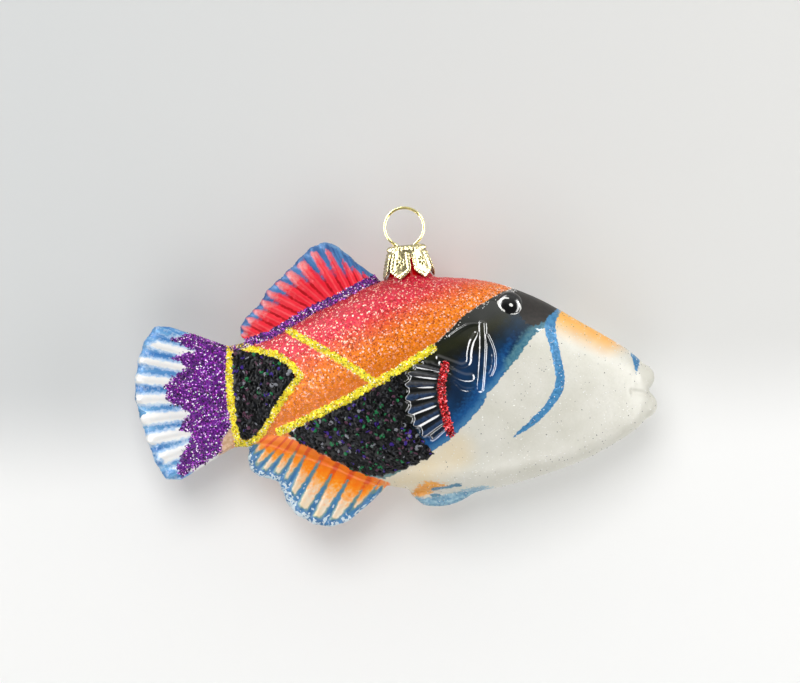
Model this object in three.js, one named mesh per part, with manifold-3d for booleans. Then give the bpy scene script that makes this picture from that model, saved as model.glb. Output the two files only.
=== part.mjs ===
// A blown-glass triggerfish ornament, lying on its left flank as it rests on a table.
// The fish is shaped in its mould's frame: x runs to the nose, y to the back, z across the body,
// and z = 0 is the seam of the two mould halves. The group then lowers it onto the table.
// Millimetres, +Z up in the finished part.
import * as THREE from "three";
import { mergeVertices } from "three/addons/utils/BufferGeometryUtils.js";
import Module from "manifold-3d";

const wasm = await Module();
wasm.setup();

// Driving sizes
const GAP = 0.3; // clearance between neighbouring pieces
const REST_DEPTH = 19; // from the mould seam down to the table
const SECTION_POWER = 2.35; // 2 is an ellipse, more is boxier
const RINGS = 37;
const RING_SIDES = 36;

// The body from the tail root to the mouth: x, back, belly, half thickness
const STATIONS = [
  [-42.5, 9.2, -15.2, 4.8],
  [-32, 12.4, -15.6, 7.6],
  [-18, 20.2, -19.6, 12.8],
  [-6, 25.4, -24.2, 16.4],
  [8, 26.8, -26.5, 18],
  [22, 25.9, -26.1, 17.5],
  [34, 22.1, -23.2, 15.4],
  [46, 15.6, -19, 12],
  [56, 9.8, -13.6, 8.4],
  [60.8, 6, -10, 6],
  [62.8, 2.4, -7.4, 4],
];

// Where the glass is parted into its named lengths: x at the back and x at the belly
const STEM_CUT = { back: -29, belly: -29 };
const GILL_CUT = { back: 19, belly: 28 };
const CUT_REACH = 28; // half height of a parting cut at its two named ends

// Each row is one fin ray: its foot inside the body, then its tip on the margin
const TAIL_RAYS = [
  [-39.5, -14.6, -54.2, -23.8],
  [-39.5, -13.4, -57.6, -23.3],
  [-39.5, -11.4, -60.3, -18.9],
  [-39.5, -8.8, -62.2, -13.8],
  [-39.5, -6, -63.8, -8.6],
  [-39.5, -3.3, -65, -3.4],
  [-39.5, -0.7, -65, 1.6],
  [-39.5, 1.9, -64.2, 6.4],
  [-39.5, 4.4, -62.8, 10.6],
  [-39.5, 6.6, -60, 14.4],
  [-39.5, 8.4, -56.2, 14.3],
];
const DORSAL_RAYS = [
  [-33.5, 9.6, -39.3, 12.2],
  [-31, 11, -38.7, 15.3],
  [-26.6, 12.8, -36.6, 17.8],
  [-22.6, 14.6, -34, 20.4],
  [-18.6, 16.6, -32.3, 23.6],
  [-16.4, 17.6, -29, 26.6],
  [-14.4, 18.4, -25.6, 30],
  [-12.2, 19.1, -21.6, 34],
  [-9.9, 20, -17.4, 35.5],
  [-7.6, 21, -13.6, 33.6],
  [-5.4, 21.8, -9.6, 30.1],
  [-3.4, 22.6, -5.8, 27.6],
];
const ANAL_RAYS = [
  [-1.2, -21.8, -3.5, -26.3],
  [-1.8, -21, -7.8, -30.4],
  [-2.8, -20.2, -13, -34.4],
  [-8, -18.2, -17.8, -35.2],
  [-12.6, -16.8, -22.2, -34],
  [-16.5, -14.6, -26.4, -31],
  [-20.6, -13, -28.4, -27],
  [-23.5, -12.8, -29.9, -24],
  [-26, -13, -33.6, -23],
  [-28, -13, -36.4, -21.4],
  [-31, -12.8, -37.2, -18.2],
  [-33.8, -12.8, -36.7, -15.4],
];
const PELVIC_RAYS = [
  [22.2, -23.2, 22.7, -25.9],
  [18.2, -22.8, 19.2, -27.1],
  [14.5, -22.8, 15.2, -29.4],
  [11.2, -23, 11.2, -30.3],
  [8.2, -23.2, 7.4, -30.2],
  [5.8, -23.6, 4.9, -28.6],
  [3.8, -24, 3.4, -27.2],
];
const PECTORAL_RAYS = [
  [14.8, -8.8, 8.8, -14],
  [14.5, -6.8, 6, -12.8],
  [14.2, -4.8, 3.6, -10.2],
  [14, -3, 2.2, -7],
  [13.8, -1.4, 1.5, -3.4],
  [13.8, 0, 1.4, 0.2],
  [14, 1.4, 2.2, 3.2],
  [14.5, 2.6, 4, 5.2],
  [15.2, 3.6, 6.4, 6.2],
];
// Half thickness of each fin at its foot and at its margin, and the height of its ray ridges
const TAIL_FIN = { foot: 4.7, margin: 2.6, ridge: 0.5 };
const DORSAL_FIN = { foot: 3.4, margin: 1.9, ridge: 0.35 };
const ANAL_FIN = { foot: 4, margin: 2.2, ridge: 0.4 };
const PELVIC_FIN = { foot: 3.6, margin: 1.7, ridge: 0.15 };
const PECTORAL_PLATE = { height: 0.75, ridge: 0.3 };

// Raised ribs of the gill cover, as points on the flank
const GILL_TOP = [21.5, 14.6];
const GILL_RIBS = [
  [GILL_TOP, [21, 8], [20.8, 2], [20.6, -1.4]],
  [GILL_TOP, [22.9, 11.4], [24, 7.2], [23.3, 2.8], [20.6, -1.4]],
  [GILL_TOP, [19.5, 11.2], [18.3, 7.6], [16.6, 6.3], [13.6, 6.5], [10.2, 7.3]],
];
const RIB = { halfWidth: 0.75, height: 1.5, steps: 12, sides: 4 };

// Coarse glitter stands proud of the glass inside these outlines, on both flanks
const GLITTER_RISE = 0.6;
const GLITTER_PATCHES = [
  [
    [-39.6, 7.6],
    [-34, 8],
    [-30, 6.2],
    [-25.2, 2.6],
    [-31, -7.2],
    [-34.6, -12.2],
    [-38, -13.2],
    [-40.2, -11.2],
    [-40.8, 0],
  ],
  [
    [-26.6, -12],
    [-12.2, -4.6],
    [0.6, 3],
    [0.6, -3.6],
    [1.4, -8],
    [3, -11.6],
    [8, -16],
    [5, -19],
    [-3.9, -22.4],
    [-11.6, -20.6],
    [-22.4, -15],
  ],
];

const EYE = { x: 28.1, y: 20.1, radius: 3.2, height: 2, lean: 0.42 };
const LIPS = [
  { x: 60.2, y: 1.9, radius: 4.2, across: 4.6 },
  { x: 60.9, y: -5, radius: 4.2, across: 4.5 },
];

// The neck, the crown cap over it and the wire hanger share one leaning axis
const CROWN = { x: 3.1, y: 26.9, lean: 0.105 };
const NECK_PROFILE = [
  [0, -6],
  [7.6, -6],
  [6.9, -1.8],
  [5.4, 0.4],
  [4.4, 2.6],
  [4.2, 6],
  [3.6, 6.9],
  [0, 7],
];
const CAP = { petals: 6, turn: 0.16, wall: 0.5, dip: 2.6, slitWidth: 0.5, slitTop: 5.4 };
// Outside of the cap from its rim to its crown: radius, height; the inside lies one wall further in
const CAP_OUTSIDE = [
  [6.7, 0],
  [6.1, 2.2],
  [5.5, 4.2],
  [5.2, 6],
  [4.9, 7.2],
  [4.1, 8.1],
  [0, 8.3],
];
const HANGER = { wire: 0.36, radius: 4.85, centre: 12.6, legSpread: 3.1, sides: 4 };

// A closed geometry as a manifold-3d solid, so that it can be joined and cut
function solid(geometry) {
  const bare = geometry.clone();
  bare.deleteAttribute("normal");
  bare.deleteAttribute("uv");
  const merged = mergeVertices(bare, 1e-4);
  return new wasm.Manifold(
    new wasm.Mesh({
      numProp: 3,
      vertProperties: merged.attributes.position.array,
      triVerts: new Uint32Array(merged.index.array),
    }),
  );
}

function largest(joined) {
  return joined.decompose().reduce((a, b) => (a.volume() > b.volume() ? a : b));
}

function node(name, shape, material) {
  const cut = largest(shape).getMesh();
  const geometry = new THREE.BufferGeometry();
  geometry.setAttribute("position", new THREE.BufferAttribute(cut.vertProperties, 3));
  geometry.setIndex(new THREE.BufferAttribute(cut.triVerts, 1));
  geometry.computeVertexNormals();
  const mesh = new THREE.Mesh(geometry, material);
  mesh.name = name;
  return mesh;
}

// Moves every vertex of a geometry to where place puts it
function reshape(geometry, place) {
  const position = geometry.attributes.position;
  const at = new THREE.Vector3();
  for (let i = 0; i < position.count; i++) {
    place(at.fromBufferAttribute(position, i));
    position.setXYZ(i, at.x, at.y, at.z);
  }
  return geometry;
}

// Body
const backLine = new THREE.CatmullRomCurve3(
  STATIONS.map(([x, back, , half]) => new THREE.Vector3(x, back, half)),
  false,
  "catmullrom",
);
const bellyLine = new THREE.CatmullRomCurve3(
  STATIONS.map(([x, , belly, half]) => new THREE.Vector3(x, belly, half)),
  false,
  "catmullrom",
);

function section(t) {
  const back = backLine.getPoint(t);
  const belly = bellyLine.getPoint(t);
  return {
    x: back.x,
    middle: (back.y + belly.y) / 2,
    halfHeight: (back.y - belly.y) / 2,
    halfThickness: back.z,
  };
}

function sectionAtX(x) {
  let low = 0;
  let high = 1;
  for (let i = 0; i < 24; i++) {
    const t = (low + high) / 2;
    if (backLine.getPoint(t).x < x) low = t;
    else high = t;
  }
  return section(low);
}

// How far the flank stands from the mould seam at a point of the side view
function flank(x, y) {
  const s = sectionAtX(x);
  const share = Math.min(1, Math.abs(y - s.middle) / s.halfHeight);
  return s.halfThickness * (1 - share ** SECTION_POWER) ** (1 / SECTION_POWER);
}

const rounded = (value) => Math.sign(value) * Math.abs(value) ** (2 / SECTION_POWER);

function bodySolid(grow) {
  const tube = new THREE.CylinderGeometry(1, 1, 2, RING_SIDES, RINGS);
  reshape(tube, (p) => {
    const s = section((p.y + 1) / 2);
    const end = Math.abs(p.y) > 0.999 ? Math.sign(p.y) * grow : 0;
    p.set(
      s.x + end,
      s.middle + rounded(p.x) * (s.halfHeight + grow),
      -rounded(p.z) * (s.halfThickness + grow),
    );
  });
  return solid(tube);
}

function glitterPad(outline) {
  const edge = new THREE.Shape(outline.map(([x, y]) => new THREE.Vector2(x, y)));
  const column = new THREE.ExtrudeGeometry(edge, { depth: 60, bevelEnabled: false });
  column.translate(0, 0, -30);
  return bodySolid(GLITTER_RISE).intersect(solid(column));
}

function lip({ x, y, radius, across }) {
  const ball = new THREE.SphereGeometry(1, 20, 14);
  ball.scale(radius, radius * 0.85, across);
  ball.translate(x, y, 0);
  return solid(ball);
}

function partingCut({ back, belly }) {
  const sheet = new THREE.BoxGeometry(GAP, 4 * CUT_REACH, 4 * CUT_REACH);
  sheet.rotateZ(Math.atan2(belly - back, 2 * CUT_REACH));
  sheet.translate((back + belly) / 2, 0, 0);
  return solid(sheet);
}

// Fins: a box is drawn out along the rays, thinned to its margin and ridged
function rayCurves(rays) {
  return {
    feet: new THREE.SplineCurve(rays.map((r) => new THREE.Vector2(r[0], r[1]))),
    tips: new THREE.SplineCurve(rays.map((r) => new THREE.Vector2(r[2], r[3]))),
  };
}

const RIM = 0.3; // thickness left at the very edge, as a share
function rim(share) {
  return RIM + (1 - RIM) * Math.sqrt(1 - share ** 6);
}

function finGeometry(rays, stepsOut, place) {
  const { feet, tips } = rayCurves(rays);
  const count = rays.length - 1;
  const box = new THREE.BoxGeometry(2, 2, 2, 4 * count, stepsOut, 2);
  return reshape(box, (p) => {
    const along = (p.x + 1) / 2;
    const out = Math.sin(((p.y + 1) * Math.PI) / 4);
    const edge = p.y > 0.999 ? 0.02 * (1 - p.z * p.z) : 0;
    const spot = feet.getPoint(along).lerp(tips.getPoint(along), out + edge);
    const crest = Math.cos(2 * Math.PI * count * along);
    place(p.set(spot.x, spot.y, p.z), {
      out,
      crest,
      rim: rim(Math.abs(2 * along - 1)) * rim(out),
    });
  });
}

function lobe(rays, fin, stepsOut) {
  return solid(
    finGeometry(rays, stepsOut, (p, at) => {
      const thick = THREE.MathUtils.lerp(fin.foot, fin.margin, at.out);
      p.z *= at.rim * (thick + fin.ridge * at.crest * at.out);
    }),
  );
}

// A low relief that lies on the flank, from just above it to its own height
function pectoralRelief() {
  return solid(
    finGeometry(PECTORAL_RAYS, 6, (p, at) => {
      const height = PECTORAL_PLATE.height + PECTORAL_PLATE.ridge * at.crest;
      p.z = flank(p.x, p.y) + GAP + (height * at.rim * (p.z + 1)) / 2;
    }),
  );
}

function gillRib(points) {
  const route = new THREE.CatmullRomCurve3(
    points.map(([x, y]) => new THREE.Vector3(x, y, flank(x, y) + GAP + RIB.height / 2)),
  );
  const outline = new THREE.Shape();
  outline.absellipse(0, 0, RIB.height / 2, RIB.halfWidth, 0, 2 * Math.PI);
  return solid(
    new THREE.ExtrudeGeometry(outline, {
      steps: RIB.steps,
      curveSegments: RIB.sides,
      extrudePath: route,
    }),
  );
}

function eyeDome() {
  const dome = new THREE.SphereGeometry(1, 24, 16);
  dome.scale(EYE.radius, EYE.radius, EYE.height);
  dome.rotateX(-EYE.lean);
  dome.translate(EYE.x, EYE.y, flank(EYE.x, EYE.y));
  return solid(dome);
}

// Neck, crown cap and hanger, each made upright about its own axis and then leant over
function leant(geometry) {
  geometry.rotateZ(CROWN.lean);
  geometry.translate(CROWN.x, CROWN.y, 0);
  return geometry;
}

function lathe(profile, sides) {
  return new THREE.LatheGeometry(
    profile.map(([radius, height]) => new THREE.Vector2(radius, height)),
    sides,
  );
}

function crownCap() {
  const inside = CAP_OUTSIDE.map(([radius, height]) => [
    Math.max(0, radius - CAP.wall),
    height > 7 ? height - CAP.wall : height,
  ]).reverse();
  const crown = CAP_OUTSIDE[CAP_OUTSIDE.length - 1][1];
  const cup = lathe([...CAP_OUTSIDE, ...inside, CAP_OUTSIDE[0]], 8 * CAP.petals);
  reshape(cup, (p) => {
    const turn = Math.atan2(p.x, p.z) - CAP.turn;
    const petal = Math.abs(Math.sin((turn * CAP.petals) / 2));
    const low = Math.max(0, 1 - p.y / 4);
    p.y += (1 - petal) * CAP.dip * low;
  });
  let cap = solid(leant(cup));
  for (let i = 0; i < CAP.petals / 2; i++) {
    const slit = new THREE.BoxGeometry(CAP.slitWidth, 2 * CAP.slitTop, 20);
    slit.rotateY(CAP.turn + (i * 2 * Math.PI) / CAP.petals);
    cap = cap.subtract(solid(leant(slit)));
  }
  for (const side of [-1, 1]) {
    const hole = new THREE.CylinderGeometry(HANGER.wire + GAP, HANGER.wire + GAP, 4, 12);
    hole.translate(side * HANGER.legSpread, crown, 0);
    cap = cap.subtract(solid(leant(hole)));
  }
  return cap;
}

function hangerWire() {
  const { radius, centre, legSpread } = HANGER;
  const foot = NECK_PROFILE[NECK_PROFILE.length - 1][1] + GAP;
  const shoulder = 0.85; // below the loop's middle, where each leg leaves the circle
  const points = [new THREE.Vector3(legSpread, foot, 0), new THREE.Vector3(legSpread, foot + 1, 0)];
  for (let i = 0; i <= 24; i++) {
    const turn = -shoulder + (i / 24) * (Math.PI + 2 * shoulder);
    points.push(
      new THREE.Vector3(radius * Math.cos(turn), centre + radius * Math.sin(turn), 0),
    );
  }
  points.push(new THREE.Vector3(-legSpread, foot + 1, 0));
  points.push(new THREE.Vector3(-legSpread, foot, 0));
  const outline = new THREE.Shape();
  outline.absarc(0, 0, HANGER.wire, 0, 2 * Math.PI);
  const wire = new THREE.ExtrudeGeometry(outline, {
    steps: 56,
    curveSegments: HANGER.sides,
    extrudePath: new THREE.CatmullRomCurve3(points),
  });
  return solid(leant(wire));
}

// Materials
const paint = (color, roughness) => new THREE.MeshStandardMaterial({ color, roughness });
const pearlWhite = paint(0xe6e4dc, 0.45);
const orangeRed = paint(0xe2603a, 0.5);
const blackGlitter = paint(0x1c1c20, 0.4);
const purpleWhite = paint(0xa58fb8, 0.5);
const redBlue = paint(0xe04848, 0.4);
const orangeBlue = paint(0xe89a4c, 0.4);
const blueGloss = paint(0x14305a, 0.15);
const eyeBlack = paint(0x0c0c0e, 0.1);
const redLacquer = paint(0xb0101a, 0.25);
const goldTin = new THREE.MeshStandardMaterial({
  color: 0xe0d2a0,
  roughness: 0.3,
  metalness: 1,
});

// Assembly
const body = bodySolid(0);
const grownBody = bodySolid(GAP);
const raised = [...LIPS.map(lip), ...GLITTER_PATCHES.map(glitterPad)];
const glass = raised.reduce((joined, shape) => joined.add(shape), body);
const lengths = glass
  .subtract(partingCut(STEM_CUT))
  .subtract(partingCut(GILL_CUT))
  .decompose()
  .sort((a, b) => a.boundingBox().min[0] - b.boundingBox().min[0]);

const stemEnd = new THREE.BoxGeometry(80, 80, 80);
stemEnd.translate(STATIONS[0][0] - GAP + 40, 0, 0);

const fish = new THREE.Group();
fish.add(
  node("tail_stem", lengths[0], blackGlitter),
  node("trunk", lengths[1], orangeRed),
  node("head", lengths[2], pearlWhite),
  node("tail_fin", lobe(TAIL_RAYS, TAIL_FIN, 6).subtract(solid(stemEnd)), purpleWhite),
  node("dorsal_fin", lobe(DORSAL_RAYS, DORSAL_FIN, 6).subtract(grownBody), redBlue),
  node("anal_fin", lobe(ANAL_RAYS, ANAL_FIN, 6).subtract(grownBody), orangeBlue),
  node("pelvic_fin", lobe(PELVIC_RAYS, PELVIC_FIN, 6).subtract(grownBody), orangeBlue),
  node("neck", solid(leant(lathe(NECK_PROFILE, 32))).subtract(grownBody), redLacquer),
  node("crown_cap", crownCap().subtract(grownBody), goldTin),
  node("hanger_wire", hangerWire(), goldTin),
);

// What stands on both flanks: the left one is turned over, and is worn flat where it rests
const gillRibs = GILL_RIBS.map(gillRib).reduce((joined, rib) => joined.add(rib));
const onFlank = {
  pectoral_fin: [pectoralRelief(), blueGloss],
  gill_cover: [gillRibs.subtract(grownBody), blueGloss],
  eye: [eyeDome().subtract(grownBody), eyeBlack],
};
const table = new THREE.BoxGeometry(200, 200, 40);
table.translate(0, 0, REST_DEPTH + 20);
for (const [name, [shape, material]] of Object.entries(onFlank)) {
  const left = node(`${name}_left`, shape.subtract(solid(table)), material);
  left.scale.z = -1;
  fish.add(node(`${name}_right`, shape, material), left);
}

// Onto the table, centred over the origin
const bounds = new THREE.Box3().setFromObject(fish);
const centre = bounds.getCenter(new THREE.Vector3());
fish.position.set(-centre.x, -centre.y, REST_DEPTH);

export default fish;
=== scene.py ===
"""A blown-glass triggerfish ornament: painted and glittered glass, a crown cap and a wire hanger.

The glass is shaped in its mould's frame, in millimetres: x runs to the nose, y to the back, z across
the body, and z = 0 is the seam of the mould. Everything is then set down in the row's frame, in metres.
"""
import math

import bmesh
import bpy
import numpy as np
from mathutils import Matrix, Vector


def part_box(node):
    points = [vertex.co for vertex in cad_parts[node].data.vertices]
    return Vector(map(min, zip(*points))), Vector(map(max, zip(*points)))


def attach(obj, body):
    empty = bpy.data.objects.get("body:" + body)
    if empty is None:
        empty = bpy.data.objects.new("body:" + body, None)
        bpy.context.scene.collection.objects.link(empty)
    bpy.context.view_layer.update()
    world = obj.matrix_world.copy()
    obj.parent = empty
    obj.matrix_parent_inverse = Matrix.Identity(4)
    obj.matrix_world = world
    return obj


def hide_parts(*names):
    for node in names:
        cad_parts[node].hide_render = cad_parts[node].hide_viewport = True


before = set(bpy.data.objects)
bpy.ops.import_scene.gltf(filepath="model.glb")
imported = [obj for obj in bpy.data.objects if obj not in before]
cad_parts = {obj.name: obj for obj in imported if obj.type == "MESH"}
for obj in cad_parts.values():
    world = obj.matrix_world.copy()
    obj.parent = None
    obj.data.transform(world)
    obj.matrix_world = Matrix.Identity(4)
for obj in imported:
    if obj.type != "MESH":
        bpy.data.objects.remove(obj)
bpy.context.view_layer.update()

MM = 0.001

# Driving sizes of the glass, as in the CAD source
SECTION_POWER = 2.35  # how square the body's sections are, where 2 is an ellipse
# Stations along the body: x, back, belly, half thickness
STATIONS = [
    (-42.5, 9.2, -15.2, 4.8), (-32, 12.4, -15.6, 7.6), (-18, 20.2, -19.6, 12.8),
    (-6, 25.4, -24.2, 16.4), (8, 26.8, -26.5, 18), (22, 25.9, -26.1, 17.5), (34, 22.1, -23.2, 15.4),
    (46, 15.6, -19, 12), (56, 9.8, -13.6, 8.4), (60.8, 6, -10, 6), (62.8, 2.4, -7.4, 4),
]
# Rays of the fins: x and y of the foot, then of the tip
TAIL_RAYS = [
    (-39.5, -14.6, -54.2, -23.8), (-39.5, -13.4, -57.6, -23.3), (-39.5, -11.4, -60.3, -18.9),
    (-39.5, -8.8, -62.2, -13.8), (-39.5, -6, -63.8, -8.6), (-39.5, -3.3, -65, -3.4),
    (-39.5, -0.7, -65, 1.6), (-39.5, 1.9, -64.2, 6.4), (-39.5, 4.4, -62.8, 10.6),
    (-39.5, 6.6, -60, 14.4), (-39.5, 8.4, -56.2, 14.3),
]
DORSAL_RAYS = [
    (-33.5, 9.6, -39.3, 12.2), (-31, 11, -38.7, 15.3), (-26.6, 12.8, -36.6, 17.8),
    (-22.6, 14.6, -34, 20.4), (-18.6, 16.6, -32.3, 23.6), (-16.4, 17.6, -29, 26.6),
    (-14.4, 18.4, -25.6, 30), (-12.2, 19.1, -21.6, 34), (-9.9, 20, -17.4, 35.5),
    (-7.6, 21, -13.6, 33.6), (-5.4, 21.8, -9.6, 30.1), (-3.4, 22.6, -5.8, 27.6),
]
ANAL_RAYS = [
    (-1.2, -21.8, -3.5, -26.3), (-1.8, -21, -7.8, -30.4), (-2.8, -20.2, -13, -34.4),
    (-8, -18.2, -17.8, -35.2), (-12.6, -16.8, -22.2, -34), (-16.5, -14.6, -26.4, -31),
    (-20.6, -13, -28.4, -27), (-23.5, -12.8, -29.9, -24), (-26, -13, -33.6, -23),
    (-28, -13, -36.4, -21.4), (-31, -12.8, -37.2, -18.2), (-33.8, -12.8, -36.7, -15.4),
]
PELVIC_RAYS = [
    (22.2, -23.2, 22.7, -25.9), (18.2, -22.8, 19.2, -27.1), (14.5, -22.8, 15.2, -29.4),
    (11.2, -23, 11.2, -30.3), (8.2, -23.2, 7.4, -30.2), (5.8, -23.6, 4.9, -28.6),
    (3.8, -24, 3.4, -27.2),
]
PECTORAL_RAYS = [
    (14.8, -8.8, 8.8, -14), (14.5, -6.8, 6, -12.8), (14.2, -4.8, 3.6, -10.2), (14, -3, 2.2, -7),
    (13.8, -1.4, 1.5, -3.4), (13.8, 0, 1.4, 0.2), (14, 1.4, 2.2, 3.2), (14.5, 2.6, 4, 5.2),
    (15.2, 3.6, 6.4, 6.2),
]
# Rays, half thickness at the foot and at the margin, and the number and height of the ray ridges
FINS = {
    "tail": (TAIL_RAYS, 4.7, 2.6, 10, 0.55),
    "dorsal": (DORSAL_RAYS, 3.4, 1.9, 14, 0.4),
    "anal": (ANAL_RAYS, 4, 2.2, 12, 0.45),
    "pelvic": (PELVIC_RAYS, 3.6, 1.7, 4, 0.15),
}
LIPS = [(60.2, 1.9, 4.2, 4.6), (60.9, -5, 4.2, 4.5)]  # x, y, radius, half width
GILL_TOP = (21.2, 15)
# Folds of the gill cover: half width, height, then points on the flank
GILL_FOLDS = [
    (1.0, 1.45, [GILL_TOP, (21.4, 11), (21.3, 7), (21, 2.6), (20.7, -0.9)]),
    (0.7, 0.9, [(22.4, 12.2), (23.6, 9.4), (24.1, 7), (24, 4.6), (23.3, 2.8)]),
    (0.8, 0.9, [(19.8, 12.8), (18.6, 10.6), (18, 8), (17.8, 5.7), (16.2, 4.8), (13.9, 5.5), (10.4, 6.8)]),
    (1.1, 1.1, [(11.4, 5.4), (13, 4.1), (15.1, 2.6), (17, 1.9), (18.4, 1.9)]),
    (0.7, 0.4, [(14.4, 0.9), (16.5, -0.9), (19, -0.9), (20.2, 0.2)]),
    (0.6, 0.45, [GILL_TOP, (18.6, 15.1), (16, 14), (13.4, 12.2)]),
]
EYE = {"x": 27.6, "y": 20.6, "radius": 3.2, "height": 2, "lean": 0.42}
CROWN = Vector((3.1, 26.9, 0))
CROWN_LEAN = 0.105
NECK_PROFILE = [(7.6, -6), (6.9, -1.8), (5.4, 0.4), (4.4, 2.6), (4.2, 6), (3.6, 6.9), (0.4, 7)]
HANGER = {"wire": 0.36, "radius": 4.85, "centre": 12.6, "leg_spread": 3.1, "into_cap": 1.6}

# The view: frame centre in the mould's frame, the width it takes in at the seam, distance and tip
VIEW = {"x": 0.75, "y": 10.9, "width": 200.0, "distance": 620.0, "tip": 3.0}

leaning = Matrix.Translation(CROWN) @ Matrix.Rotation(CROWN_LEAN, 4, "Z")


def mould_origin():
    """Where the mould's frame lies in the row's, from the tail root, the hanger's top and its wire."""
    stem_low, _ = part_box("tail_stem")
    wire_low, wire_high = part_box("hanger_wire")
    loop_top = (leaning @ Vector((0, HANGER["centre"], 0))).y + HANGER["radius"] + HANGER["wire"]
    return Vector(
        (
            stem_low[0] / MM - STATIONS[0][0],
            wire_high[1] / MM - loop_top,
            (wire_low[2] + wire_high[2]) / 2 / MM,
        )
    )


ORIGIN = mould_origin()
TABLE = -ORIGIN.z  # the table's height in the mould's frame


# Curves and fields in the side view


def spline(points, t):
    """Catmull-Rom curve through the points at every t from 0 to 1."""
    points = np.asarray(points, float)
    ends = np.vstack((2 * points[0] - points[1], points, 2 * points[-1] - points[-2]))
    along = np.clip(t, 0, 1) * (len(points) - 1)
    i = np.minimum(along.astype(int), len(points) - 2)
    u = (along - i)[:, None]
    a, b, c, d = ends[i], ends[i + 1], ends[i + 2], ends[i + 3]
    cubic = (3 * b - 3 * c + d - a) * u**3 + (2 * a - 5 * b + 4 * c - d) * u**2 + (c - a) * u
    return b + cubic / 2


def drawn(points):
    """Where each place lies in the drawn side view, which was measured from VIEW's distance and tip."""
    tip = math.radians(VIEW["tip"])
    x, y, z = points[:, 0] - VIEW["x"], points[:, 1] - VIEW["y"], np.abs(points[:, 2])
    nearer = VIEW["distance"] / (VIEW["distance"] - y * math.sin(tip) - z * math.cos(tip))
    return VIEW["x"] + x * nearer, VIEW["y"] + (y * math.cos(tip) - z * math.sin(tip)) * nearer


def smooth_path(points, steps=5):
    return spline(points, np.linspace(0, 1, steps * (len(points) - 1) + 1))


def stroke_depth(strokes, x, y):
    """How deep each place lies inside brush strokes, given as points with their half widths."""
    best = np.full(np.shape(x), -1e9)
    for stroke in strokes:
        for (ax, ay, wide), (bx, by, next_wide) in zip(stroke[:-1], stroke[1:]):
            dx, dy = bx - ax, by - ay
            share = np.clip(((x - ax) * dx + (y - ay) * dy) / max(dx * dx + dy * dy, 1e-12), 0, 1)
            gap = np.hypot(x - ax - share * dx, y - ay - share * dy)
            best = np.maximum(best, wide + share * (next_wide - wide) - gap)
    return best


def distance_to(path, x, y):
    """Distance in the side view from each place to the nearest point of an open path."""
    return -stroke_depth([[(px, py, 0) for px, py in path]], x, y)


def depth_in(outline, x, y):
    """How deep each place lies inside a closed outline, and less than 0 outside it."""
    closed = list(outline) + [outline[0]]
    inside = np.zeros(np.shape(x), bool)
    for (ax, ay), (bx, by) in zip(closed[:-1], closed[1:]):
        if ay != by:
            crosses = ((ay > y) != (by > y)) & (x < (bx - ax) * (y - ay) / (by - ay) + ax)
            inside ^= crosses
    return np.where(inside, 1, -1) * distance_to(closed, x, y)


def fan(rays, x, y):
    """Each place's ray number in a fin's fan, and its share of the way out along that ray."""
    rays = np.asarray(rays, float)
    foot, tip = rays[:, :2], rays[:, 2:]
    ray = np.zeros(np.shape(x))
    run = tip - foot
    side = [r[0] * (y - f[1]) - r[1] * (x - f[0]) for f, r in zip(foot, run)]
    turn = np.sign(run[0][0] * run[-1][1] - run[0][1] * run[-1][0])
    side = [turn * s / np.hypot(*r) for s, r in zip(side, run)]
    for i in range(len(rays) - 1):
        share = side[i] / np.where(np.abs(side[i] - side[i + 1]) < 1e-6, 1e-6, side[i] - side[i + 1])
        ray = np.where((side[i] >= 0) & (side[i + 1] < 0), i + np.clip(share, 0, 1), ray)
    ray = np.where(side[-1] >= 0, len(rays) - 1, ray)
    i = np.minimum(ray.astype(int), len(rays) - 2)
    u = ray - i
    fx = foot[i, 0] * (1 - u) + foot[i + 1, 0] * u
    fy = foot[i, 1] * (1 - u) + foot[i + 1, 1] * u
    rx = tip[i, 0] * (1 - u) + tip[i + 1, 0] * u - fx
    ry = tip[i, 1] * (1 - u) + tip[i + 1, 1] * u - fy
    out = ((x - fx) * rx + (y - fy) * ry) / (rx * rx + ry * ry)
    return ray / (len(rays) - 1), out


def ray_point(rays, share, out):
    """The place at a share of the way across a fin's fan and a share of the way out along it."""
    rays = np.asarray(rays, float)
    along = share * (len(rays) - 1)
    foot_x, foot_y, tip_x, tip_y = (np.interp(along, range(len(rays)), column) for column in rays.T)
    return foot_x + (tip_x - foot_x) * out, foot_y + (tip_y - foot_y) * out


def ramp(value, low, high):
    share = np.clip((value - low) / (high - low), 0, 1)
    return share * share * (3 - 2 * share)


def bell(value, width):
    return np.exp(-((value / width) ** 2))


# Body sections
back_line = [(x, back) for x, back, belly, half in STATIONS]
belly_line = [(x, belly) for x, back, belly, half in STATIONS]
half_line = [(x, half) for x, back, belly, half in STATIONS]


def sections(t):
    back, belly, half = (spline(line, t) for line in (back_line, belly_line, half_line))
    return back[:, 0], (back[:, 1] + belly[:, 1]) / 2, (back[:, 1] - belly[:, 1]) / 2, half[:, 1]


def flank(x, y):
    """How far the flank stands from the mould seam."""
    table = sections(np.linspace(0, 1, 400))
    middle, tall, half = (np.interp(x, table[0], row) for row in table[1:])
    share = np.clip(np.abs(y - middle) / tall, 0, 1)
    return half * (1 - share**SECTION_POWER) ** (1 / SECTION_POWER)


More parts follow.
